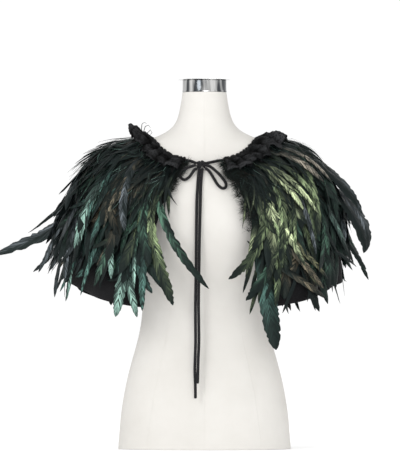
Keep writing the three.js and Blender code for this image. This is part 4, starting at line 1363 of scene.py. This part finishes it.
# %% Feather material
def make_feather_material():
    """Barbs that slant towards the tip, with a painted sheen in streaks of the feather's tint on near-black.
    """
    material, shader = new_material("rooster_feather", Roughness=0.42, Specular_IOR_Level=0.17)
    shader.inputs["Specular Tint"].default_value = (0.72, 0.95, 0.88, 1)
    add, link, calc = nodes_of(material.node_tree)
    vane = add("ShaderNodeSeparateXYZ")
    link(add("ShaderNodeUVMap", uv_map="cut").outputs["UV"], vane.inputs[0])
    tint = add("ShaderNodeAttribute", attribute_name="tint")
    out_along = calc("ABSOLUTE", vane.outputs["X"])
    barb = calc("MULTIPLY_ADD", out_along, -2.3, vane.outputs["Y"])
    seed = add("ShaderNodeSeparateXYZ")
    link(tint.outputs["Color"], seed.inputs[0])

    def barb_noise(per_metre, across, detail):
        """Noise drawn out along the barbs, different for each tint."""
        place = add("ShaderNodeCombineXYZ")
        link(calc("MULTIPLY", barb, per_metre), place.inputs["X"])
        link(calc("MULTIPLY", vane.outputs["X"], across), place.inputs["Y"])
        link(calc("MULTIPLY", seed.outputs["Y"], 90.0), place.inputs["Z"])
        noise = add("ShaderNodeTexNoise", Scale=1.0, Detail=detail, Roughness=0.6)
        link(place.outputs[0], noise.inputs["Vector"])
        return noise.outputs["Fac"]

    clumps = barb_noise(230.0, 90.0, 2.0)
    fine = barb_noise(620.0, 110.0, 1.0)
    broad = barb_noise(32.0, 30.0, 2.0)
    streak = calc("MULTIPLY_ADD", fine, 0.6, clumps)
    streak = calc("MULTIPLY", calc("MAXIMUM", calc("SUBTRACT", streak, 0.69), 0.0), 6.0)
    patchy = calc("MULTIPLY", calc("MAXIMUM", calc("SUBTRACT", broad, 0.30), 0.0), 3.6)
    shaft = calc("MINIMUM", calc("MULTIPLY", out_along, 1500.0), 1.0)
    # painted sheen: the tint's alpha, in the barb streaks, stands in for the gloss where the light catches
    painted_sheen = calc("MULTIPLY", calc("MULTIPLY", tint.outputs["Alpha"], streak), patchy)
    painted_sheen = calc("MINIMUM", calc("MULTIPLY", painted_sheen, calc("MULTIPLY_ADD", shaft, 0.5, 0.5)), 1.0)
    tinted(material, shader, painted_sheen, (0.0030, 0.0044, 0.0046), tint.outputs["Color"])
    bump = add("ShaderNodeBump", Strength=0.6, Distance=0.0008)
    link(calc("MULTIPLY_ADD", fine, 0.6, clumps), bump.inputs["Height"])
    link(bump.outputs["Normal"], shader.inputs["Normal"])
    link(calc("MULTIPLY_ADD", clumps, 0.4, 0.24), shader.inputs["Roughness"])
    return material


FEATHER = make_feather_material()
print("feather material nodes:", len(FEATHER.node_tree.nodes))

# %% Lay the feathers
STRAY_REST, NAMED_REST = 7 * MM, 5.5 * MM    # keep the feathers that stand out above their neighbours
RANDOM_SLICES, CHOSEN_SLICES = 16, 40
RANDOM_RAGGED, STRAY_RAGGED, NAMED_RAGGED = 0.16, 0.36, 0.24     # depth of the notches in a vane's edge


def feather_row(name, row, draws):
    """The feathers of one CAD node as one piece: those drawn at random, then those listed one by one."""
    values = draw_row(row, draws)
    drawn = feather_mesh(values, RANDOM_SLICES, TOP_ACROSS, RANDOM_RAGGED, draws)
    drawn["tint"] = feather_colours(drawn, len(values["angle"]), draws)
    parts = [drawn]
    for table, columns, rest, ragged in (
        (STRAY_FEATHERS[name], STRAY_COLUMNS, STRAY_REST, STRAY_RAGGED),
        (NAMED_FEATHERS[name], NAMED_COLUMNS, NAMED_REST, NAMED_RAGGED),
    ):
        if not table:
            continue
        values = chosen_feathers(table, columns, row, rest)
        part = feather_mesh(values, CHOSEN_SLICES, FINE_ACROSS, ragged, draws)
        part["tint"] = chosen_colours(part, table, draws)
        parts.append(part)
    points, faces = join_meshes([(part["points"], part["faces"]) for part in parts])
    vane, tint = (np.vstack([part[key] for part in parts]) for key in ("vane", "tint"))
    piece = new_piece(name + "_plumes", points, faces, FEATHER, "feathers", vane, name)
    add_tint(piece, tint)
    work_on(piece)
    bpy.ops.object.shade_smooth_by_angle(angle=math.radians(55))
    return piece


feather_pieces = {
    name: feather_row(name, row, np.random.default_rng(20 + seed))
    for seed, (name, row) in enumerate(FEATHER_ROWS.items())
}

# %% [markdown]
# ## Tapes and down
# Stripped feathers are sold sewn to a narrow tape, and the tapes are sewn to the cloth in rows. They hide
# under the row above. Along the front edges and under the ruffle the feathers' short, soft base barbs
# show as dark down. Each hair of it is a thin three-sided tube that curls a little, drawn in tufts.

# %% Feather tapes
TAPE_TALL, TAPE_THICK = 9 * MM, 1.4 * MM
TAPE_LIFT, TAPE_RIPPLE = 0.6 * MM, 0.25 * MM     # gap between cloth and tape, and its small waves
TAPE_SECTION = np.array([(1.0, 0.8), (0.5, 1.0), (0.0, 0.8), (0.0, 0.1), (0.5, 0.0), (1.0, 0.1)])
TAPE_COLUMNS = 240
TAPE_START, TAPE_ROUND = 0.02, 0.25      # radians past the front edge, and metres of tape in a radian


def make_tapes():
    """The tapes as one piece: a flat tube along each root line."""
    up, out = TAPE_SECTION.T[:, None, :]
    parts = []
    for line in [line for row in FEATHER_ROWS.values() for line in row["lines"]]:
        start = edge_angle(line) + TAPE_START
        angle = np.linspace(start, math.tau - start, TAPE_COLUMNS)[:, None]
        tall = TAPE_TALL / on_cape(angle[:, 0], np.full(TAPE_COLUMNS, line))["per_along"].mean()
        along = line - tall * up
        away = CLOTH_THICK + TAPE_LIFT + TAPE_THICK * out + TAPE_RIPPLE * np.sin(angle * 75)
        points = over_cape(angle + 0 * along, along + 0 * angle, away).reshape(-1, 3)
        uv = np.stack(np.broadcast_arrays(angle * TAPE_ROUND, along * CLOTH_DOWN), axis=-1).reshape(-1, 2)
        parts.append((points, tube_faces(TAPE_COLUMNS, len(TAPE_SECTION)), uv))
    uv = np.vstack([part[2] for part in parts])
    return new_piece("feather_tapes", *join_meshes(parts), CAPE_CLOTH, "cape_cloth", uv)


tapes = make_tapes()

# %% Down material
def make_down_material():
    """Dark soft barbs, a little lighter towards their ends with a painted sheen, in uneven tones."""
    material, shader = new_material("soft_down", Roughness=0.75, Specular_IOR_Level=0.12)
    add, link, calc = nodes_of(material.node_tree)
    tint = add("ShaderNodeAttribute", attribute_name="tint")
    noise = add("ShaderNodeTexNoise", Scale=90.0, Detail=2.0)
    link(add("ShaderNodeTexCoord").outputs["Object"], noise.inputs["Vector"])
    # painted sheen: the tint's alpha decides how far the dark barb turns to its tint
    tone = calc("MULTIPLY", tint.outputs["Alpha"], calc("MULTIPLY_ADD", noise.outputs["Fac"], 1.2, 0.3))
    tinted(material, shader, tone, (0.0035, 0.0038, 0.004), tint.outputs["Color"])
    return material


DOWN = make_down_material()
print("down material nodes:", len(DOWN.node_tree.nodes))

# %% Down hairs
DOWN_SIDES, DOWN_SLICES = 3, 5
DOWN_SPIN = np.arange(DOWN_SIDES) * math.tau / DOWN_SIDES
HAIR_POINTS = DOWN_SIDES * DOWN_SLICES
LOOSE_BARB_RADII = 0.95 * MM * np.array([1, 1, 0.9, 0.7, 0.3])[:, None]


def hair_mesh(angle, along, heading, reach, base, lift, thick, draws):
    """Thin curling tubes that start on the cape and run off in a heading: 0 is down, and 90 degrees round."""
    count = len(angle)
    shares = np.linspace(0, 1, DOWN_SLICES)
    curl = draws.normal(0, 0.9, count)
    middle = np.zeros((count, DOWN_SLICES, 3))
    rounds, outs = np.zeros_like(middle), np.zeros_like(middle)
    for i, share in enumerate(shares):
        here = on_cape(angle, along)
        away = base + lift * share**1.5
        middle[:, i] = here["point"] + here["out"] * away[:, None]
        rounds[:, i], outs[:, i] = here["round"], here["out"]
        step = reach / (DOWN_SLICES - 1)
        turned = heading + curl * share
        angle = angle + step * np.sin(turned) / here["per_angle"]
        along = along + step * np.cos(turned) / here["per_along"]
    radius = thick[:, None] / 2 * (1 - 0.85 * shares)
    forward = unit(np.gradient(middle, axis=1))
    aside = unit(np.cross(outs, forward))
    upward = np.cross(forward, aside)
    points = (middle[:, :, None]
              + aside[:, :, None] * (radius[..., None] * np.cos(DOWN_SPIN))[..., None]
              + upward[:, :, None] * (radius[..., None] * np.sin(DOWN_SPIN))[..., None])
    firsts = np.arange(count) * HAIR_POINTS
    faces = []
    for face in tube_faces(DOWN_SLICES, DOWN_SIDES):
        faces += (np.array(face)[None] + firsts[:, None]).tolist()
    return points.reshape(-1, 3), faces


def thin_strand(line):
    """One more strand like those of hair_mesh, through five given points."""
    sides, ups = carried_frames(line)
    ring = (sides[:, None] * (LOOSE_BARB_RADII * np.cos(DOWN_SPIN))[..., None]
            + ups[:, None] * (LOOSE_BARB_RADII * np.sin(DOWN_SPIN))[..., None])
    return (line[:, None] + ring).reshape(-1, 3), tube_faces(len(line), DOWN_SIDES)


# %% Down
DOWN_PLACES = [
    # side, from and to along, tufts, hairs in a tuft, longest in mm, degrees past the edge and inside it,
    # highest in mm
    (1, 0.00, 0.54, 320, 13, 22, 2.8, 10.0, 14),
    (-1, 0.00, 0.34, 100, 15, 18, 1.5, 5.5, 7),
]
LONG_BARBS = 1500                # single barbs between the feathers, all round the cape
LOOSE_BARBS_MM = [               # three that curl up from the collar's left peak
    [(-122, -14, 646), (-127, -22, 664), (-124, -26, 674), (-117, -26, 677), (-113, -24, 671)],
    [(-118, -14, 644), (-119, -22, 661), (-113, -25, 667), (-110, -24, 661), (-114, -22, 656)],
    [(-126, -14, 648), (-132, -20, 668), (-131, -22, 679), (-126, -22, 683), (-121, -21, 680)],
]
DOWN_TINTS = ("slate", "green", "bronze", "pale")


def edge_tufts(side, top, bottom, tufts, hairs, longest, past, inside, highest, draws):
    """Tufts of down along one front edge."""
    root = draws.uniform(top, bottom, tufts)
    tuft_angle = edge_angle(root) + np.radians(draws.uniform(-past, inside, tufts))
    tuft_heading = np.radians(draws.normal(-62, 28, tufts))
    root, tuft_angle, tuft_heading = (np.repeat(v, hairs) for v in (root, tuft_angle, tuft_heading))
    count = len(root)
    heading = tuft_heading + draws.normal(0, 0.5, count)
    angle = (tuft_angle + draws.normal(0, 0.008, count)) * side
    return hair_mesh(
        np.mod(angle, math.tau), root + draws.normal(0, 0.008, count), heading * side,
        draws.uniform(0.4, 1, count) * longest * MM, draws.uniform(2, highest, count) * MM,
        draws.uniform(0, 9, count) * MM, draws.uniform(0.4, 0.85, count) * MM, draws,
    )


def long_barbs(count, draws):
    """Longer single barbs that lie between the feathers."""
    angle = draws.uniform(0.45, math.tau - 0.45, count)
    along = draws.uniform(0.02, 0.62, count)
    return hair_mesh(
        angle, along, draws.normal(0, 0.35, count), draws.uniform(18, 44, count) * MM,
        4.5 * MM + draws.uniform(6, 17, count) * MM * np.clip(along / 0.25, 0.3, 1),
        draws.uniform(2, 10, count) * MM, draws.uniform(0.3, 0.6, count) * MM, draws,
    )


def make_down(draws):
    """The down as one piece, with a tint for each hair. Only the long barbs get a strong painted sheen."""
    groups = [edge_tufts(*place, draws) for place in DOWN_PLACES]
    groups.append(long_barbs(LONG_BARBS, draws))
    groups += [thin_strand(np.array(line) * MM) for line in LOOSE_BARBS_MM]
    points, faces = join_meshes(groups)
    piece = new_piece("feather_down", points, faces, DOWN, "feathers")
    hairs = len(points) // HAIR_POINTS
    share = np.tile(np.repeat(np.linspace(0, 1, DOWN_SLICES), DOWN_SIDES), hairs)
    colours = np.array([TINTS[name] for name in DOWN_TINTS])
    colour = colours[draws.integers(0, len(colours), hairs)]
    # painted sheen: a faint one on the tufts, a strong random one on the long barbs
    bright = np.full(hairs, 0.1)
    first = hairs - len(LOOSE_BARBS_MM) - LONG_BARBS
    bright[first:first + LONG_BARBS] = draws.uniform(0.1, 1.0, LONG_BARBS) ** 1.5
    painted_sheen = np.repeat(bright, HAIR_POINTS) * np.sin(math.pi * share**0.8)
    add_tint(piece, np.concatenate([np.repeat(colour, HAIR_POINTS, axis=0), painted_sheen[:, None]], axis=1))
    return piece


down = make_down(np.random.default_rng(41))

# %% [markdown]
# ## What the cloth is
# The three panels are draped over the form, and the casing and the ruffle are strips that the drawstring
# gathers. One tape runs over all three panels.

print("sheets:", [*panels, casing.name, ruffle.name])

# %% [markdown]
# ## Floor and light
# The photo has a plain white surround and soft light from everywhere, with a little more from the upper
# left. A wide pale floor and a white sky give that, and three large area lights shape the folds.

# %% Floor
def make_floor():
    """A wide pale plane just under the form's base, which isn't part of the object."""
    bpy.ops.object.select_all(action="DESELECT")
    bpy.ops.mesh.primitive_plane_add(size=40, location=(0, 0, -0.0005))
    floor = bpy.context.object
    floor.name = "studio_floor"
    bpy.ops.object.transform_apply(location=True)
    material, shader = new_material("studio_floor", Roughness=0.9)
    shader.inputs["Base Color"].default_value = (0.97, 0.97, 0.97, 1)
    shader.inputs["Emission Color"].default_value = (1, 1, 1, 1)
    shader.inputs["Emission Strength"].default_value = 0.08
    floor.data.materials.append(material)
    return floor


print("floor:", make_floor().name)

# %% Light
def area_light(name, place, aim, size, power):
    """A round white light at a place, turned to what it lights."""
    data = bpy.data.lights.new(name, "AREA")
    data.shape, data.size, data.energy = "DISK", size, power
    light = bpy.data.objects.new(name, data)
    light.location = place
    light.rotation_euler = (Vector(aim) - Vector(place)).to_track_quat("-Z", "Y").to_euler()
    bpy.context.scene.collection.objects.link(light)


world = bpy.data.worlds.new("white_surround")
bpy.context.scene.world = world
world.use_nodes = True
sky = world.node_tree.nodes["Background"]
sky.inputs["Color"].default_value = (1.0, 1.0, 1.0, 1)
sky.inputs["Strength"].default_value = 1.02
area_light("key_light", (-1.5, -2.6, 1.6), (0, 0, 0.45), 1.0, 26)
area_light("front_light", (0.5, -3.4, 0.45), (0, 0, 0.4), 1.6, 34)
area_light("back_light", (0.5, 2.4, 1.6), (0, 0, 0.45), 1.2, 8)
bpy.context.scene.view_settings.view_transform = "Standard"
print("lights:", [light.name for light in bpy.data.lights])
